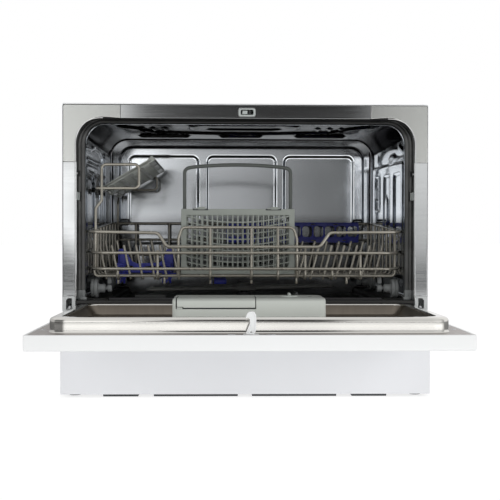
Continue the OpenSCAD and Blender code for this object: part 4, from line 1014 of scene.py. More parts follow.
def hinges():
    # brackets beside the sill, with the slot the door's arm swings in
    g = Geo()
    for s in (1, -1):
        a = [(255.3, 124), (273.6, 124), (273.6, 149.3), (255.3, 149.3)]
        L = rrect(255.3, 124, 273.6, 149.2, 1.4, 4); L[:, 0] *= s
        slot = np.array([(260.2, 125.4), (268.8, 125.4), (268.8, 142.6), (266.2, 146.0), (260.2, 146.0)], float); slot[:, 0] *= s
        # the slot is open below, where the closed arm stands
        L = np.array([(255.3, 124), (260.2, 124), (260.2, 146), (266.2, 146), (268.8, 142.6), (268.8, 124), (273.6, 124), (273.6, 147.8), (272.2, 149.2), (256.7, 149.2), (255.3, 147.8)], float)
        L[:, 0] *= s
        plate(g, L, [], 0.35, 2.0, 0.3, XZ, seg=3)
        for x0, x1 in ((255.3, 257.2), (271.6, 273.6)):
            rblock(g, (s * x0, 1.6, 124.2), (s * x1, 31.8, 149.0), 0.5)
        rblock(g, (s * 255.6, 28.8, 124.4), (s * 273.2, 31.6, 148.8), 0.6)
        lathe(g, [(0.02, -0.6), (2.6, -0.6), (3.1, 0.0), (3.1, 1.4), (0.02, 1.4)], (s * 272.7, 10, 130), "x", 18)
    g.obj("hinge_bracket_plates", BRKT, "cabinet", "hinge_brackets", "grey_plastic")


# painted shade: the bracket darkens where its surface folds in
BRKT = F_("bracket_grey", (0.50, 0.52, 0.52), 0.42, var=0.04, bump=0.01, bscale=800, dirt=0.2)
cabinet_front()
gasket()
tub()
cabinet_shell()
hinges()

CAPD = F_("salt_cap_plastic", (0.035, 0.037, 0.036), 0.45, var=0.1, bump=0.01, bscale=700)
NODES["salt_cap"].data.materials.clear(); NODES["salt_cap"].data.materials.append(CAPD)

# ------------------------------------------------------------------ door

def chaikin(L, k=2):
    L = np.asarray(L, float)
    for _ in range(k):
        q = np.roll(L, -1, 0)
        L = np.stack([0.75 * L + 0.25 * q, 0.25 * L + 0.75 * q], 1).reshape(-1, 2)
    return L


def slab(x0, y0, x1, y1, z0, z1, rb, rt, rc, n=6):
    """solid slab with a larger radius below than above"""
    g = Geo(); rings = []
    for j in range(6):
        t = pi / 2 * j / 5; d = rb * (1 - sin(t))
        rings.append(ring3(rrect(x0 + d, y0 + d, x1 - d, y1 - d, max(rc - d, 0.3), n), z0 + rb * (1 - cos(t))))
    for j in range(5):
        t = pi / 2 * (1 - j / 4); d = rt * (1 - sin(t))
        rings.append(ring3(rrect(x0 + d, y0 + d, x1 - d, y1 - d, max(rc - d, 0.3), n), z1 - rt * (1 - cos(t))))
    loft(g, rings)
    return g


def cutter(a, b, r=0.0, n=5):
    g = Geo()
    if r:
        L = rrect(a[0], a[1], b[0], b[1], r, n)
        loft(g, [ring3(L, a[2]), ring3(L, b[2])])
    else:
        rblock(g, a, b, 0.01, 1)
    return g.obj("cutter", PAINT, None)


def disc_cutter(x, y, z0, z1, r, n=40):
    g = Geo(); L = circ(x, y, r, n)
    loft(g, [ring3(L, z0), ring3(L, z1)])
    return g.obj("cutter", PAINT, None)


def door_shell():
    o = slab(-275, -235.8, 275, 30, 99.4, 119.1, 2.4, 0.5, 1.6).obj("door_skin", WPLAST, "door", "door_outer_panel", SLOT_OF["door_outer_panel"])
    cs = [cutter((-273, -233.8, 101), (273, 28, 116.8)), cutter((-240, -260, 110), (240, -14, 125)), cutter((-271.1, -260, 118.3), (271.1, -5.9, 125))]
    cs += [cutter((s * 264.5 - 4.5, -4, 110), (s * 264.5 + 4.5, 20, 125)) for s in (-1, 1)]
    cut(o, *cs)
    o.data.set_sharp_from_angle(angle=radians(30))
    o = slab(-275, -296, 275, -236.2, 99.4, 119.1, 2.4, 0.8, 1.8).obj("door_fascia", WPLAST, "door", "control_fascia", SLOT_OF["control_fascia"])
    cs = [cutter((-70, -286, 90), (70, -262, 112.3), 4), cutter((-70, -291, 102.6), (70, -262, 112.3), 4),
          cutter((-160, -274, 90), (-100, -254, 102.4), 1.2), cutter((-271.1, -292.1, 118.3), (271.1, -200, 125)), cutter((-240, -262, 110), (240, -200, 125))]
    cs += [disc_cutter(x, -264, 90, 107.6, 6.3) for x in (-235, -200, 120, 200)]
    cut(o, *cs)
    o.data.set_sharp_from_angle(angle=radians(30))
    b = o.modifiers.new("edge", "BEVEL"); b.width = 0.0005; b.segments = 2; b.limit_method = "ANGLE"; b.angle_limit = radians(50)
    # display window
    g = Geo(); rblock(g, (-159.8, -273.8, 99.72), (-100.2, -254.2, 101.7), 0.5, 3, corner=1.1)
    g.obj("display_glass", GLOSS, "door", "display_window", SLOT_OF["display_window"])
    g = Geo()
    for k, x in enumerate((-152, -140, -128, -116)):
        rblock(g, (x - 2.2, -265.2, 99.58), (x + 2.2, -262.8, 99.9), 0.12, mat=0)
    g.obj("display_marks", LAMP, "door", (), SLOT_OF["display_window"])
    for nm, x in (("power", -235), ("program", -200), ("delay", 120), ("start", 200)):
        g = Geo()
        lathe(g, [(0.01, 98.95), (2.2, 98.85), (4.2, 98.52), (5.0, 98.26), (5.6, 98.3), (5.9, 98.6), (6.0, 99.0), (6.0, 104.0), (5.0, 104.6), (0.01, 104.6)], (x, -264, 0), "z", 40)
        if nm == "power":
            lathe(g, [(1.5, 98.86), (1.75, 98.72), (2.0, 98.86), (1.75, 99.0)], (x, -264, 0), "z", 24, mat=1)
        else:
            rblock(g, (x - 1.6, -264.3, 98.7), (x + 1.6, -263.7, 99.0), 0.1, mat=1)
        g.obj(nm + "_button_cap", [KEY, DARK], "key_" + nm, nm + "_button", SLOT_OF[nm + "_button"])


LAMP = F_("display_lamp", (0.45, 0.47, 0.48), 0.3, var=0.02, bump=0.0)
RIM = F_("rim_steel", (0.76, 0.745, 0.71), 0.095, metal=1.0, var=0.02, vscale=8, rvar=0.015, rscale=10, bump=0.0, wave=0.015, wscale=6)
# painted shade: a dark brownish copy of the liner steel for the pan inside the rim
PAN_SHADE = F_("pan_steel_shaded", (0.205, 0.18, 0.15), 0.42, metal=1.0, var=0.06, vscale=10, rvar=0.04, bump=0.002, bscale=300, stretch=(10, 1, 1), wave=0.05, wscale=10)


def door_liner():
    g = Geo()
    plate(g, rrect(-271, -292, 271, -6, 1.5, 3), [rrect(-247.5, -267.5, 247.5, -9.3, 21, 10)], 118.32, 119.1, 0.25, XY)
    g.obj("liner_flange", FLANGE, "door", "door_inner_liner", "liner_steel")
    n = 12
    rings = []

    def ring(dx, z, y0, y1, r):
        rings.append(ring3(rrect(-dx, y0, dx, y1, r + (3.2 if dx > 236 and z > 119 else 0), n), z))
    ring(252.3, 119.15, -269.9, -7.2, 23); ring(251.8, 119.5, -269.4, -7.6, 22.6); ring(251.4, 120.4, -269.0, -7.9, 22.2)
    ring(251.2, 122, -268.8, -8, 22); ring(251.19, 122.6, -268.79, -8, 22); ring(251.15, 128, -268.76, -8, 22); ring(251.12, 132.0, -268.73, -8.1, 22); ring(251.1, 132.8, -268.72, -8.1, 22)
    for t in np.linspace(0, pi / 2, 10):
        ring(251.0 - 9.0 * (1 - cos(t)), 134.0 + 4.6 * sin(t), -268.6 + 3.6 * (1 - cos(t)), -8.2 - 3.4 * (1 - cos(t)), 22 - 3.4 * (1 - cos(t)))
    ring(239.4, 138.6, -262.6, -12.0, 18.6)
    for t in np.linspace(0, pi / 2, 7):
        ring(236.6 - 2.6 * sin(t), 138.6 - 2.6 * (1 - cos(t)), -259.4 + 2.6 * sin(t), -12.6 - 2.4 * sin(t), 17.4 - 1.4 * sin(t))
    k = len(rings)
    ring(232.5, 133.4, -255.4, -15.6, 15.5); ring(226.0, 125.4, -248.6, -18.2, 13); ring(224.8, 123.4, -247.0, -19.4, 12.2)
    ring(223.4, 122.4, -245.2, -21.0, 11); ring(221.6, 122.1, -243.2, -23.2, 10)
    ring(204.5, 122.1, -226, -40.5, 14); ring(203.0, 122.35, -224.5, -42, 13.4); ring(201.4, 122.85, -222.9, -43.6, 12.8); ring(199.8, 123.1, -221.3, -45.2, 12.2)
    loft(g := Geo(), rings[:k], False, False)
    g.obj("liner_rim", RIM, "door", (), "liner_steel", sharp=60, recalc=False, solid=0.8)
    # painted shade: the pan takes the dark copy of the liner steel
    g = Geo(); loft(g, rings[k - 1:], False, True)
    g.obj("liner_pan", PAN_SHADE, "door", (), "liner_steel", sharp=60, recalc=False)
    # screws with a cross recess, and two small clips at the front edge
    g = Geo()
    for x in (-262, 262):
        for y in (-225, -130, -40):
            lathe(g, [(0.01, 119.7), (1.6, 119.82), (2.6, 119.72), (3.3, 119.4), (3.5, 119.14), (0.01, 119.14)], (x, y, 0), "z", 24)
            # painted shade: the cross recess is drawn as dark raised bars
            rblock(g, (x - 1.9, y - 0.35, 119.6), (x + 1.9, y + 0.35, 119.86), 0.1, mat=1)
            rblock(g, (x - 0.35, y - 1.9, 119.6), (x + 0.35, y + 1.9, 119.86), 0.1, mat=1)
    g.obj("flange_screws", [BARE, DARK], "door", "door_screws", SLOT_OF["door_screws"])
    g = Geo()
    for x0, x1 in ((-28, -19), (21, 30)):
        rblock(g, (x0, -293.4, 118.9), (x1, -289.6, 119.7), 0.3)
    g.obj("fascia_clips", BARE, "door", (), "bare_steel")


def door_hook():
    out = chaikin([(-6.2, 119.15), (6.6, 119.15), (6.6, 139), (6.5, 143.2), (4.2, 146.6), (0.6, 147.6), (-3.3, 146.2), (-5.4, 142.9), (-6.4, 138.7), (-4.4, 139.6),
                   (-2.0, 139.4), (-1.2, 136.4), (-1.1, 133.1), (-2.6, 129.1), (-5.2, 123.1)], 2)
    out[:, 1] = np.clip(out[:, 1], 119.12, 147)
    inn = chaikin([(-4.6, 120.9), (5.0, 120.9), (5.0, 139), (4.8, 142.6), (3.2, 144.9), (0.6, 145.7), (-2.2, 144.6), (-3.9, 142.2), (-3.6, 141.1), (-1.2, 140.6),
                   (0.4, 137.6), (0.5, 132.9), (-1.0, 128.6), (-3.7, 122.8)], 2)
    g = Geo()
    plate(g, out, [inn], -288, -286.8, 0.35, XZ, seg=3)
    plate(g, out, [inn], -283.2, -282.0, 0.35, XZ, seg=3)
    plate(g, out, [circ(0.35, 121.9, 0.85, 16)], -287.1, -282.9, 0.2, XZ)
    rblock(g, (-9.5, -289.6, 119.12), (9.8, -280.4, 119.9), 0.35, corner=1.5)
    g.obj("latch_hook", HOOK, "door", "door_hook", SLOT_OF["door_hook"])


def dispenser():
    g = Geo(); rings = []
    x0, y0, x1, y1 = -100, -209, 100, -134
    for d, z in ((0.0, 122.12), (0.0, 123), (0.05, 140), (0.25, 154.6)):
        rings.append(ring3(rrect(x0 + d, y0 + d, x1 - d, y1 - d, 8 - d, 8), z))
    for t in np.linspace(0, pi / 2, 8)[1:]:
        d = 0.3 + 3.2 * (1 - cos(t)); rings.append(ring3(rrect(x0 + d, y0 + d, x1 - d, y1 - d, 8 - d, 8), 155.4 + 3.2 * sin(t)))
    loft(g, rings)
    o = g.obj("dispenser_body", DISP, "door", "dispenser_housing", SLOT_OF["dispenser_housing"])
    cut(o, cutter((-95.3, -215, 144.3), (8.9, -147.9, 165)), cutter((-86, -201, 125), (-2, -152, 150), 7), disc_cutter(54, -172, 147, 170, 12.35))
    o.data.set_sharp_from_angle(angle=radians(32))
    b = o.modifiers.new("edge", "BEVEL"); b.width = 0.0004; b.segments = 2; b.limit_method = "ANGLE"; b.angle_limit = radians(50)
    g = Geo()
    rblock(g, (-94.0, -208.9, 144.6), (-86.6, -203, 146.5), 0.25)
    rblock(g, (-96.5, -205.4, 103), (96.5, -137.6, 122.3), 0.6, corner=4)
    # raised steps and marks of the rinse side
    lathe(g, [(12.6, 158.4), (12.9, 158.95), (15.2, 158.95), (15.8, 158.4)], (54, -172, 0), "z", 40)
    for x in (20, 28, 36):
        rblock(g, (x, -171.4, 158.3), (x + 4.6, -170, 158.85), 0.2)
    rblock(g, (74, -196, 158.3), (90, -190, 158.9), 0.25)
    # dark strips painted into the seam under and beside the lid: painted shadow of the gap
    g_ = Geo()
    rblock(g_, (-95.2, -206.4, 144.4), (8.8, -205.4, 147.2), 0.1); rblock(g_, (-95.2, -206.4, 144.4), (-93.9, -150, 155.5), 0.1); rblock(g_, (8.0, -206.4, 144.4), (8.8, -150, 155.5), 0.1)
    g_.obj("lid_gap_painted_shadow", DARK, "door", (), SLOT_OF["dispenser_housing"])
    # window of the rinse level
    g.obj("dispenser_details", DISP, "door", (), SLOT_OF["dispenser_housing"])
    g = Geo()
    lathe(g, [(0.01, 158.7), (3.2, 158.6), (4.2, 158.2), (0.01, 158.2)], (82, -168, 0), "z", 24)
    g.obj("rinse_window", GLOSS, "door", (), SLOT_OF["display_window"])
    # lid: one L-shaped cover
    sec = path_round([(-148.6, 156.2, 0), (-148.6, 158.6, 0), (-209, 158.6, 0), (-209, 146.0, 0), (-206.5, 146.0, 0), (-206.5, 156.2, 0)], [0, 0.7, 3.0, 0.6, 0.4, 0.9], 6)[:, :2]
    g = Geo()
    plate(g, sec[::-1], [], -93.7, 7.8, 0.5, YZ, seg=3)
    o = g.obj("lid_cover", DISP, "soap_lid", "detergent_lid", SLOT_OF["detergent_lid"])
    cut(o, cutter((-96, -212, 140), (-85.4, -204, 147.4)))
    o.data.set_sharp_from_angle(angle=radians(32))
    g = Geo()
    rblock(g, (-78, -198, 158.4), (-66, -190, 159.0), 0.25, corner=1.2)
    for x in (-46, -40, -34):
        lathe(g, [(0.01, 159.05), (1.1, 159.0), (1.6, 158.5), (0.01, 158.5)], (x, -190, 0), "z", 14)
    rblock(g, (-80, -202, 154.6), (-12, -151, 156.3), 0.4, corner=6)
    g.obj("lid_details", DISP, "soap_lid", (), SLOT_OF["detergent_lid"])
    # rinse cap
    g = Geo()
    lathe(g, [(0.01, 160), (9.8, 160), (11.2, 159.6), (11.9, 158.8), (12.0, 157.8), (12.0, 150.2), (11.4, 150), (0.01, 150)], (54, -172, 0), "z", 40)
    rblock(g, (52.4, -182, 159.4), (55.6, -162, 163.4), 1.1, 3)
    g.obj("rinse_cap_turned", DISP2, "rinse_cap", "rinse_aid_cap", SLOT_OF["rinse_aid_cap"])


door_shell()
door_liner()
door_hook()
# painted shade: the dispenser's top faces are darker than its sides
paint_shade_by_height(DISP, 0.1535, 0.1583, 0.45)
dispenser()

# ------------------------------------------------------------------ rack

RHW, RY0, RY1 = 240.0, 34.0, 366.0
CZ = 177.6
LZ = CZ - 4.52


def hoop_z(z0, z1, y):
    return z0 + (z1 - z0) * (y - RY0) / (RY1 - RY0)


def bead(g, p, r=2.7, n=10, mat=0):
    """small round weld"""
    lathe(g, [(0.01, r), (r * 0.7, r * 0.7), (r, 0), (r * 0.7, -r * 0.7), (0.01, -r)], p, "z", n, mat)


def rack():
    h = RHW
    g = Geo()
    tube(g, [(-h, RY1, 263), (-h, RY0, 246), (-134.2, RY0, 244), (-120, RY0, 222.8), (114.6, RY0, 222.8), (129.7, RY0, 244.6), (h, RY0, 246), (h, RY1, 263)],
         5, [14, 14, 9, 9, 9, 9, 14, 14], 14, 9, True)
    tube(g, [(-h, RY1, 233), (-h, RY0, 213.5), (h, RY0, 213.5), (h, RY1, 233)], 4.5, 27, 12, 12, True)
    tube(g, [(-h, RY1, 205), (-h, RY0, 189), (h, RY0, 189), (h, RY1, 205)], 4.5, 27, 12, 12, True)
    tube(g, [(-27, 351, 231), (211, 351, 231)], 4, 0, 12)
    tube(g, [(-25, 351, 231), (-25, RY1 - 2.3, 231)], 4, 0, 12); tube(g, [(209, 351, 231), (209, RY1 - 2.3, 231)], 4, 0, 12)
    y = RY0 + 4.77
    tube(g, [(-103, y, CZ - 2), (-103, y, 236), (-97, y, 252.6), (74, y, 252.6), (79.5, y, 236), (79.5, y, CZ - 2)], 4.5, [0, 20, 8, 8, 20, 0], 12, 8)
    g.obj("rack_rim_and_hoops", RACK, "rack", "rack_rim_wires", "rack_coating", sharp=50)
    g = Geo()
    for y in (50.6, 70, 108, 146, 186, 226, 276, 322, 346):
        x = 233.0 if (y < 60 or y > 340) else 235.2
        zt = hoop_z(247, 262, y) + 1.5
        tube(g, [(-x, y, zt), (-x, y, CZ), (x, y, CZ), (x, y, zt)], 4.5, 6.5, 12, 6)
    g.obj("rack_cross_u_wires", RACK, "rack", "rack_cross_wires", "rack_coating", sharp=50)
    g = Geo()
    y0, y1 = RY0 + 4.77, RY1 - 4.77
    for x in (-196, -134.8, -54, 9.3, 50.2, 92.3, 134, 177.6):
        t = 252.0 if -60 < x < 60 else (192 if (x < -190 or 100 < x < 150) else 218)
        tube(g, [(x, y0, t), (x, y0, LZ), (x, y1, LZ), (x, y1, 264)], 4.5, 7.5, 12, 7)
        for zz in ((189, 213.5, 222.8) if -60 < x < 60 else ((189, 213.5) if t > 200 else (189,))):
            bead(g, (x, y0 - 2.3, zz), 2.0)
    for x in (-196, -125, -53.9, 9.4, 79.4, 157.3):
        tube(g, [(x, 49, LZ - 8), (x, 49, CZ - 2)], 4, 0, 12)
    g.obj("rack_long_bent_wires", RACK, "rack", "rack_long_wires", "rack_coating", sharp=50)
    g = Geo()
    for x0, dx, n, yy, lean, zt in ((-227, 18.8, 7, 70, -11.4, 225.5), (-227, 18.8, 6, 146, -11.4, 232.5), (96.5, 19.95, 7, 70, 14.4, 225.5), (96.5, 19.95, 7, 146, 14.4, 231.5)):
        for i in range(n):
            x = x0 + i * dx
            tube(g, [(x - lean, yy - 4.3, CZ - 6), (x - lean * 0.93, yy - 4.3, CZ - 2.5), (x, yy - 4.3, zt)], 4, 6, 12)
    g.obj("rack_bent_tines", RACK, "rack", "rack_tines", "rack_coating", sharp=50)
    g = Geo()
    tube(g, [(-230.2, 43.8, 190), (-230.2, 43.8, 282), (-221.5, 48, 294), (-221.5, 48, 349.6), (-164, 48, 349.6), (-164, 48, 313), (-231, 48, 313)], 4.5, 7, 12, 7)
    tube(g, [(-228.6, 355.4, 206), (-228.6, 355.4, 300), (-225, 344, 316), (-225, 344, 349), (-156, 344, 349), (-156, 344, 324), (-219, 344, 324)], 4.5, 7, 12, 7)
    tube(g, [(-223, 49, 313), (-223, 338, 313)], 4, 0, 12)
    g.obj("cup_bracket_loops", RACK, "rack", "cup_shelf_bracket", "rack_coating", sharp=50)
    # axles
    g = Geo()
    for s in (1, -1):
        for y in (60, 300):
            tube(g, [(s * 207, y, 158), (s * 239.4, y, 158)], 6, 0, 16)
            pr = [(3.02, 207.0), (5.2, 207.0), (5.8, 207.6), (6.0, 208.4), (6.0, 212.6), (5.6, 213.4), (3.02, 213.4)]
            lathe(g, [(a, s * b) for a, b in pr], (0, y, 158), "x", 28)
            rblock(g, (s * 207, y - 4, 165.5), (s * 213.5, y + 4, 175), 0.7)
            rblock(g, (s * 208.4, y - 6.5, 172.2), (s * 212.4, y + 6.5, 175.4), 0.7)
    g.obj("axle_holders", GREY, "rack", "roller_axles", SLOT_OF["roller_axles"])
    for nm, s, y, b in (("front_right", 1, 60, "wheel_fr"), ("rear_right", 1, 300, "wheel_rr"), ("front_left", -1, 60, "wheel_fl"), ("rear_left", -1, 300, "wheel_rl")):
        g = Geo()
        pr = [(3.08, 3.2), (5.6, 3.2), (6.5, 3.8), (6.8, 4.8), (6.8, 12.0), (7.6, 13.2), (8.6, 13.6), (8.6, 14.4), (12.6, 14.4), (14.2, 14.8), (14.9, 15.8), (15, 17.0), (15, 19.0), (14.0, 19.6), (14.0, 20.6), (15, 21.2), (15, 23), (14.6, 24.3), (13.4, 25.0),
              (12.2, 24.9), (11.8, 24.0), (11.7, 23.0), (6.4, 23.0), (6.2, 24.6), (5.6, 25.0), (3.08, 25.0)]
        lathe(g, [(a, s * (213.7 + c)) for a, c in pr], (0, y, 158), "x", 40)
        for k in range(6):
            t = 2 * pi * k / 6
            P0 = np.array([s * 237.3, y + 6 * cos(t), 158 + 6 * sin(t)]); P1 = np.array([s * 237.3, y + 12 * cos(t), 158 + 12 * sin(t)])
            sweep(g, [P0, P1], rsec(1.6, 1.2, 0.3, 2), up=(1, 0, 0))
        g.obj("roller_" + nm + "_wheel", GREY, b, "roller_" + nm, SLOT_OF["roller_" + nm])


def bowl_rest():
    g = Geo()
    y1 = 104.9
    L = [(-202, 182), (-199, 180.2), (-116, 180.2), (-113, 182), (-113, 214), (-115.5, 219), (-123, 219), (-126.5, 214.5), (-129.5, 201.5), (-136, 197.2), (-171, 195.4), (-179, 198.6),
         (-184.5, 206), (-188, 216), (-191, 219), (-199.5, 219), (-202, 216)]
    L = path_round([(a, b, 0) for a, b in L], 3.5, 4, True)[:, :2]
    plate(g, L, [rrect(-160, 184.2, -132, 191.4, 2.5, 4), rrect(-197, 186, -178, 192, 2.5, 4)], y1 - 3.4, y1, 0.7, XZ, seg=3)
    # stiffening edge
    sweep(g, [(-200.4, y1 - 5, 184), (-200.4, y1 - 5, 215)], rsec(2.2, 4.5, 0.8, 3), up=(0, 1, 0))
    sweep(g, [(-114.8, y1 - 5, 184), (-114.8, y1 - 5, 214)], rsec(2.2, 4.5, 0.8, 3), up=(0, 1, 0))
    sweep(g, [(-196, y1 - 5, 182), (-120, y1 - 5, 182)], rsec(4.2, 2.2, 0.8, 3), up=(0, 0, 1))
    # clips with a slanted web
    for x in (-204, -131):
        for xa in (x, x + 11):
            rblock(g, (xa, 92.3, 164.4), (xa + 3, 101.3, 196), 0.7)
        rblock(g, (x + 0.3, 92.6, 190), (x + 13.8, 101.2, 196), 0.7)
        W = np.array([(x + 2.6, 164.6), (x + 6.5, 164.6), (x + 22, 178.5), (x + 22, 181), (x + 2.6, 181)])
        plate(g, W, [], 92.6, 95.2, 0.5, XZ)
    rblock(g, (-56, 94, 163), (-51.6, 101, 178), 0.8); rblock(g, (-48.4, 93.4, 163), (-29, 101, 171), 1.0)
    rblock(g, (-48.4, 99, 168), (-30, 101, 176.5), 0.7)
    g.obj("bowl_rest_clip", BLUE, "rack", "bowl_support", "blue_plastic")


def rear_shelf():
    g = Geo()
    y = 351.0
    holes = [rrect(-14.2 + i * 21, 238.4, 3.9 + i * 21, 258.6, 5.4, 6) for i in range(11)] + [rrect(-26.2, 238.4, -16.8, 258.6, 4.4, 6)]
    holes += [rrect(x - 4.5, 260.9, x + 4.5, 262.6, 0.8, 3) for x in (6.0, 48, 90, 132, 174)]
    plate(g, rrect(-29, 233.4, 216, 265, 2.4, 5), holes, y - 1.5, y + 1.5, 0.8, XZ, seg=3)
    rblock(g, (-28.6, y - 2.6, 262.7), (215.6, y + 2.6, 265), 0.9)
    # lower rail, in front of the wire it swings on
    plate(g, rrect(-28.6, 228.2, 215.6, 236.6, 2.2, 4), [rrect(x - 4.5, 231.2, x + 4.5, 232.8, 0.7, 3) for x in (48, 132, 190)], y - 5.2, y - 2.9, 0.8, XZ, seg=3)
    rblock(g, (-28.2, y - 4.6, 233.9), (215.2, y + 1.4, 236.2), 0.6)
    for i in range(12):
        x = -15.5 + i * 21
        rblock(g, (x - 0.8, y - 2.3, 238), (x + 0.8, y + 2.0, 259), 0.5)
    for x in (-20, 90, 192):
        pr = [(2.1, x), (4.1, x), (4.5, x + 0.5), (4.5, x + 13.5), (4.1, x + 14), (2.1, x + 14)]
        lathe(g, pr, (0, y, 231), "x", 24)
        rblock(g, (x + 1, y - 1.3, 233.0), (x + 13, y + 1.3, 239), 0.5)
    g.obj("rear_shelf_ladder", BLUE, "rear_tray", "rear_shelf", "blue_plastic")


def cup_tray():
    T = lambda V: np.stack([-223 + 0.8660254 * V[:, 0] - 0.5 * V[:, 2], V[:, 1], 313 + 0.5 * V[:, 0] + 0.8660254 * V[:, 2]], 1)
    g = Geo()
    holes = []
    for k in range(3):
        a = 66 + k * 88.5
        for j in range(4):
            for i in range(3):
                holes.append(rrect(14 + j * 18.6, a + 5 + i * 26.5, 14 + j * 18.6 + 13.5, a + 5 + i * 26.5 + 22, 2.2, 3))
    plate(g, rrect(3.2, 62, 94, 328, [6, 2, 2, 6], 5), holes, -0.9, 1.2, 0.35, XY)
    for yy in (62, 152.6, 241.1, 326):
        t = 2.0
        L = np.array([(3.4, -2.6), (93.6, -2.6), (94, -1.5), (94, 2.4), (92.6, 3.4), (30, 3.0), (3.4, 1.6)])
        plate(g, L, [], yy, yy + t, 0.45, lambda u, v, w: np.stack([u, w, v], 1))
    rblock(g, (91.9, 62.2, -2.6), (94, 327.8, 3.2), 0.6, mat=1)
    rblock(g, (3.2, 62.2, -2.8), (5.4, 327.8, 2.2), 0.5)
    for x in (28.6, 47.2, 65.8, 84.4):
        rblock(g, (x, 63, -2.4), (x + 1.6, 327, -0.6), 0.3)
    # fins at the upper end
    for yy in (64.5, 150, 239, 322):
        L = np.array([(80, 1), (93.6, 1), (93.6, 5.6), (91.5, 6.4), (86, 4.5)])
        plate(g, L, [], yy, yy + 2.0, 0.4, lambda u, v, w: np.stack([u, w, v], 1))
    for yy in (62, 180, 298):
        pr = [(2.12, yy), (4.1, yy), (4.5, yy + 0.6), (4.5, yy + 29.4), (4.1, yy + 30), (2.12, yy + 30)]
        lathe(g, pr, (0, 0, 0), "y", 24)
        rblock(g, (2.5, yy + 1, -2.2), (6, yy + 29, 2.0), 0.5)
    g.xform(T)
    g.obj("cup_tray_panel", [GREY2, TRAYE], "cup_tray", "cup_shelf", SLOT_OF["cup_shelf"])


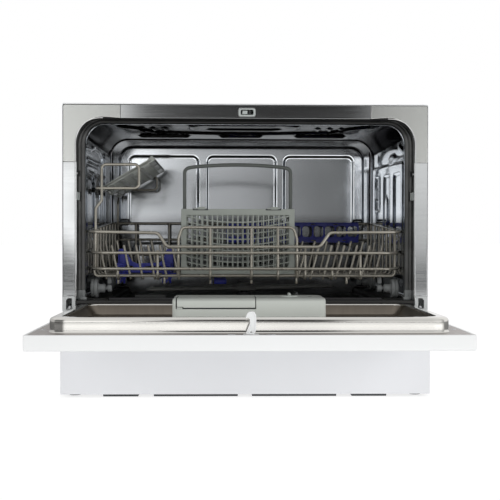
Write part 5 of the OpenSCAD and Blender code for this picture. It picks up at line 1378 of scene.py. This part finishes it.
def basket():
    X0, X1, Y0, Y1, Z0, Z1 = -99.6, 77.0, 56.0, 136.0, 180.2, 281.5
    g = Geo()
    L0, L1, B0, B1 = X0 + 8.6, X1 - 8.6, Z0 + 8.6, Z1 - 9.6
    for y0, y1 in ((Y0, Y0 + 2.4), (Y1 - 2.4, Y1)):
        plate(g, rrect(X0, Z0, X1, Z1, [3, 3, 2, 2], 4), [rrect(L0, B0, L1, B1, [1, 1, 9, 9], 5)], y0, y1, 0.55, XZ, seg=3)
        # upright bars and arched bars across the frame's opening
        n = 20; p = (L1 - L0) / n; ym = (y0 + y1) / 2
        for i in range(1, n):
            x = L0 + i * p
            rblock(g, (x - 1.1, ym - 0.95, B0 - 1), (x + 1.1, ym + 0.95, B1 + 1), 0.4)
        for k in range(0, 9):
            zb = B1 - 1.5 - k * 8.9
            xs = np.linspace(L0 - 1, L1 + 1, 25)
            zs = zb - 9.5 * (1 - ((xs - (L0 + L1) / 2) / ((L1 - L0) / 2)) ** 2)
            keep = zs > B0 + 0.5
            if keep.sum() < 25:
                # the low ones run into the bottom border
                idx = np.where(keep)[0]
                lo = idx[idx < 12]; hi_ = idx[idx >= 12]
                for part in (lo, hi_):
                    if len(part) > 2:
                        sweep(g, [(xs[j], ym, zs[j]) for j in part], rsec(1.9, 1.7, 0.5, 2), up=(0, 1, 0))
            else:
                sweep(g, [(x, ym, z) for x, z in zip(xs, zs)], rsec(1.9, 1.7, 0.5, 2), up=(0, 1, 0))
    for x0, x1 in ((X0, X0 + 2.4), (X1 - 2.4, X1)):
        holes = [rrect(Y0 + 8 + i * 8.2, Z0 + 10 + k * 20.4, Y0 + 13.6 + i * 8.2, Z0 + 10 + k * 20.4 + 17.4, 1.5, 3) for i in range(8) for k in range(4)]
        plate(g, rrect(Y0 + 1.2, Z0, Y1 - 1.2, Z1, 2, 3), holes, x0, x1, 0.5, YZ)
    # corner posts
    for x in (X0 + 4.3, X1 - 4.3):
        for s, y in ((1, Y0 + 3.4), (-1, Y1 - 3.4)):
            rblock(g, (x - 3.9, y - 3.0, Z0 + 0.4), (x + 3.9, y + 3.0, Z1 - 0.4), 1.4)
    # floor
    holes = [rrect(X0 + 6 + i * 11.9, Y0 + 5.5 + j * 11.9, X0 + 6 + i * 11.9 + 8.8, Y0 + 5.5 + j * 11.9 + 8.8, 2, 3) for i in range(14) for j in range(6)]
    plate(g, rrect(X0 + 1, Y0 + 1, X1 - 1, Y1 - 1, 2, 3), holes, Z0, Z0 + 2.4, 0.4, XY)
    # dividers
    plate(g, rrect(Y0 + 2.2, Z0 + 2, Y1 - 2.2, 271, 2, 3), [rrect(Y0 + 10 + i * 13, Z0 + 12 + k * 20, Y0 + 20 + i * 13, Z0 + 28 + k * 20, 2, 3) for i in range(5) for k in range(4)],
          -12.4, -10.2, 0.5, YZ)
    for x in (-70, -41, 18, 47):
        plate(g, rrect(Y0 + 2.2, Z0 + 2, Y1 - 2.2, Z0 + 62, 2, 3), [rrect(Y0 + 10 + i * 13, Z0 + 10 + k * 17, Y0 + 20 + i * 13, Z0 + 24 + k * 17, 2, 3) for i in range(5) for k in range(3)],
              x, x + 1.8, 0.4, YZ)
    # top clips the covers hook into
    for x in (-69.5, 44.0):
        rblock(g, (x - 12, Y0 - 0.6, Z1 - 2.0), (x + 12, Y0 + 3.0, Z1 + 0.6), 0.6, mat=1)
        rblock(g, (x - 4.0, Y0 - 1.4, Z1 - 1.2), (x + 7.0, Y0 + 3.6, Z1 + 3.4), 0.9)
        rblock(g, (x - 9.5, Y0 - 1.0, Z1 - 0.5), (x + 9.5, Y0 + 2.6, Z1 + 1.7), 0.5)
    g.obj("basket_lattice", [BASKET, DARK], "basket", "cutlery_basket", "basket_plastic")
    # handle: a flat bow
    g = Geo()
    xa, xb = X0 + 4.0, X1 - 4.0
    top = [(x, 96, 347.6 + 5.2 * (1 - ((x - (xa + xb) / 2) / ((xb - xa) / 2)) ** 2)) for x in np.linspace(xa + 14, xb - 14, 15)]
    pts = [(xa, 96, 262.5), (xa, 96, 300), (xa, 96, 346.6)] + top + [(xb, 96, 346.6), (xb, 96, 300), (xb, 96, 262.5)]
    R = [0, 0, 13] + [0] * len(top) + [13, 0, 0]
    P = path_round(pts, R, 8)
    sweep(g, P, rsec(5.4, 8.0, 1.8, 4), up=(0, 1, 0))
    for x in (xa, xb):
        rblock(g, (x - 3.4, 91.6, 262.2), (x + 3.4, 100.4, 283.4), 1.0)
        lathe(g, [(0.01, -4.6), (2.6, -4.6), (3.2, -4.1), (3.2, 4.1), (2.6, 4.6), (0.01, 4.6)], (x, 96, 270), "x", 20)
    g.obj("basket_bow_handle", HANDLE, "basket", "cutlery_handle", SLOT_OF["cutlery_handle"])


TRAYE = F_("tray_edge_plastic", (0.085, 0.09, 0.085), 0.55, var=0.07, vscale=25, bump=0.012, bscale=900)
HANDLE = F_("handle_plastic", (0.085, 0.094, 0.087), 0.40, var=0.07, vscale=26, bump=0.012, bscale=900)


def spray():
    g = Geo()
    for a in (20, 200):
        rings = []
        rs = [0, 14, 28, 50, 75, 100, 125, 145, 158, 165, 169, 170.5]
        ws = [15.5, 15.6, 16, 16.4, 15.8, 14.8, 14.0, 13.8, 12.8, 10.0, 5.6, 0.6]
        hs = [3.9, 3.9, 3.85, 3.8, 3.7, 3.6, 3.5, 3.4, 3.2, 2.6, 1.6, 0.3]
        off = [0, -0.6, -1.2, -1.4, -1.2, -0.6, 0, 0.3, 0.4, 0.4, 0.4, 0.4]
        for r, w, hh, of in zip(rs, ws, hs, off):
            t = np.linspace(0, 2 * pi, 21)[:-1]
            u = w * np.sign(np.cos(t)) * np.abs(np.cos(t)) ** 0.75 + of; v = 152.2 + hh * np.sign(np.sin(t)) * np.abs(np.sin(t)) ** 0.75
            ca, sa = cos(radians(a)), sin(radians(a))
            rings.append(np.stack([r * ca - u * sa, 195 + r * sa + u * ca, v], 1))
        loft(g, rings)
        for r in (40, 65, 90, 115, 140, 160):
            ca, sa = cos(radians(a)), sin(radians(a)); k = (r % 2) * 6 - 3
            cx, cy = r * ca - k * sa, 195 + r * sa + k * ca
            lathe(g, [(1.2, 156.6), (2.6, 156.4), (3.4, 155.0), (1.2, 155.0)], (cx, cy, 0), "z", 12)
            # painted shade: a dark disc inside each jet stands in for the shade in its hole
            lathe(g, [(0.01, 156.05), (1.25, 156.05), (1.25, 155.2), (0.01, 155.2)], (cx, cy, 0), "z", 10, mat=1)
        # rib along the blade
        sweep(g, [(20 * cos(radians(a)), 195 + 20 * sin(radians(a)), 156.0), (120 * cos(radians(a)), 195 + 120 * sin(radians(a)), 155.7)], rsec(2.0, 1.4, 0.5, 2), up=(0, 0, 1))
    lathe(g, [(5.1, 148), (20, 148), (22.4, 149), (23, 151), (22.6, 155), (20, 157.2), (11, 158), (10, 160.4), (8.6, 161), (5.1, 161)], (0, 195, 0), "z", 40)
    g.obj("spray_arm_blades", [GREY3, DARK], "spray", "spray_arm", SLOT_OF["spray_arm"])
    g = Geo()
    holes = [circ(88, 195, 31.6, 40), circ(0, 195, 16.0, 28)]
    for k, r in enumerate((36.5, 42.5, 48.5, 54.5, 60.5, 66)):
        n = int(2 * pi * r / 7.4)
        for i in range(n):
            t = 2 * pi * (i + 0.5 * (k % 2)) / n
            hx, hy = 88 + r * cos(t), 195 + r * sin(t)
            if math.hypot(hx, hy - 195) > 19.5:
                holes.append(circ(hx, hy, 1.7, 8))
    L = circ(88, 195, 70, 72)
    # the hub takes a bite out of the disc
    keep = [p for p in L if math.hypot(p[0], p[1] - 195) > 16.2]
    plate(g, np.array(keep), holes[:1] + holes[2:], 132.7, 133.9, 0.25, XY)
    lathe(g, [(68.4, 133.7), (69.4, 135.0), (70.2, 134.6), (70.0, 132.9), (68.6, 132.9)], (88, 195, 0), "z", 72)
    g.obj("filter_disc", FILT, "cabinet", "flat_filter", SLOT_OF["flat_filter"])


GREY3 = F_("arm_plastic", (0.155, 0.158, 0.15), 0.5, var=0.1, vscale=30, bump=0.015, bscale=800)
FILT = F_("filter_mesh_steel", (0.13, 0.13, 0.13), 0.40, metal=1.0, var=0.12, vscale=40, rvar=0.1, bump=0.02, bscale=900)
rack()
bowl_rest()
rear_shelf()
cup_tray()
basket()
spray()
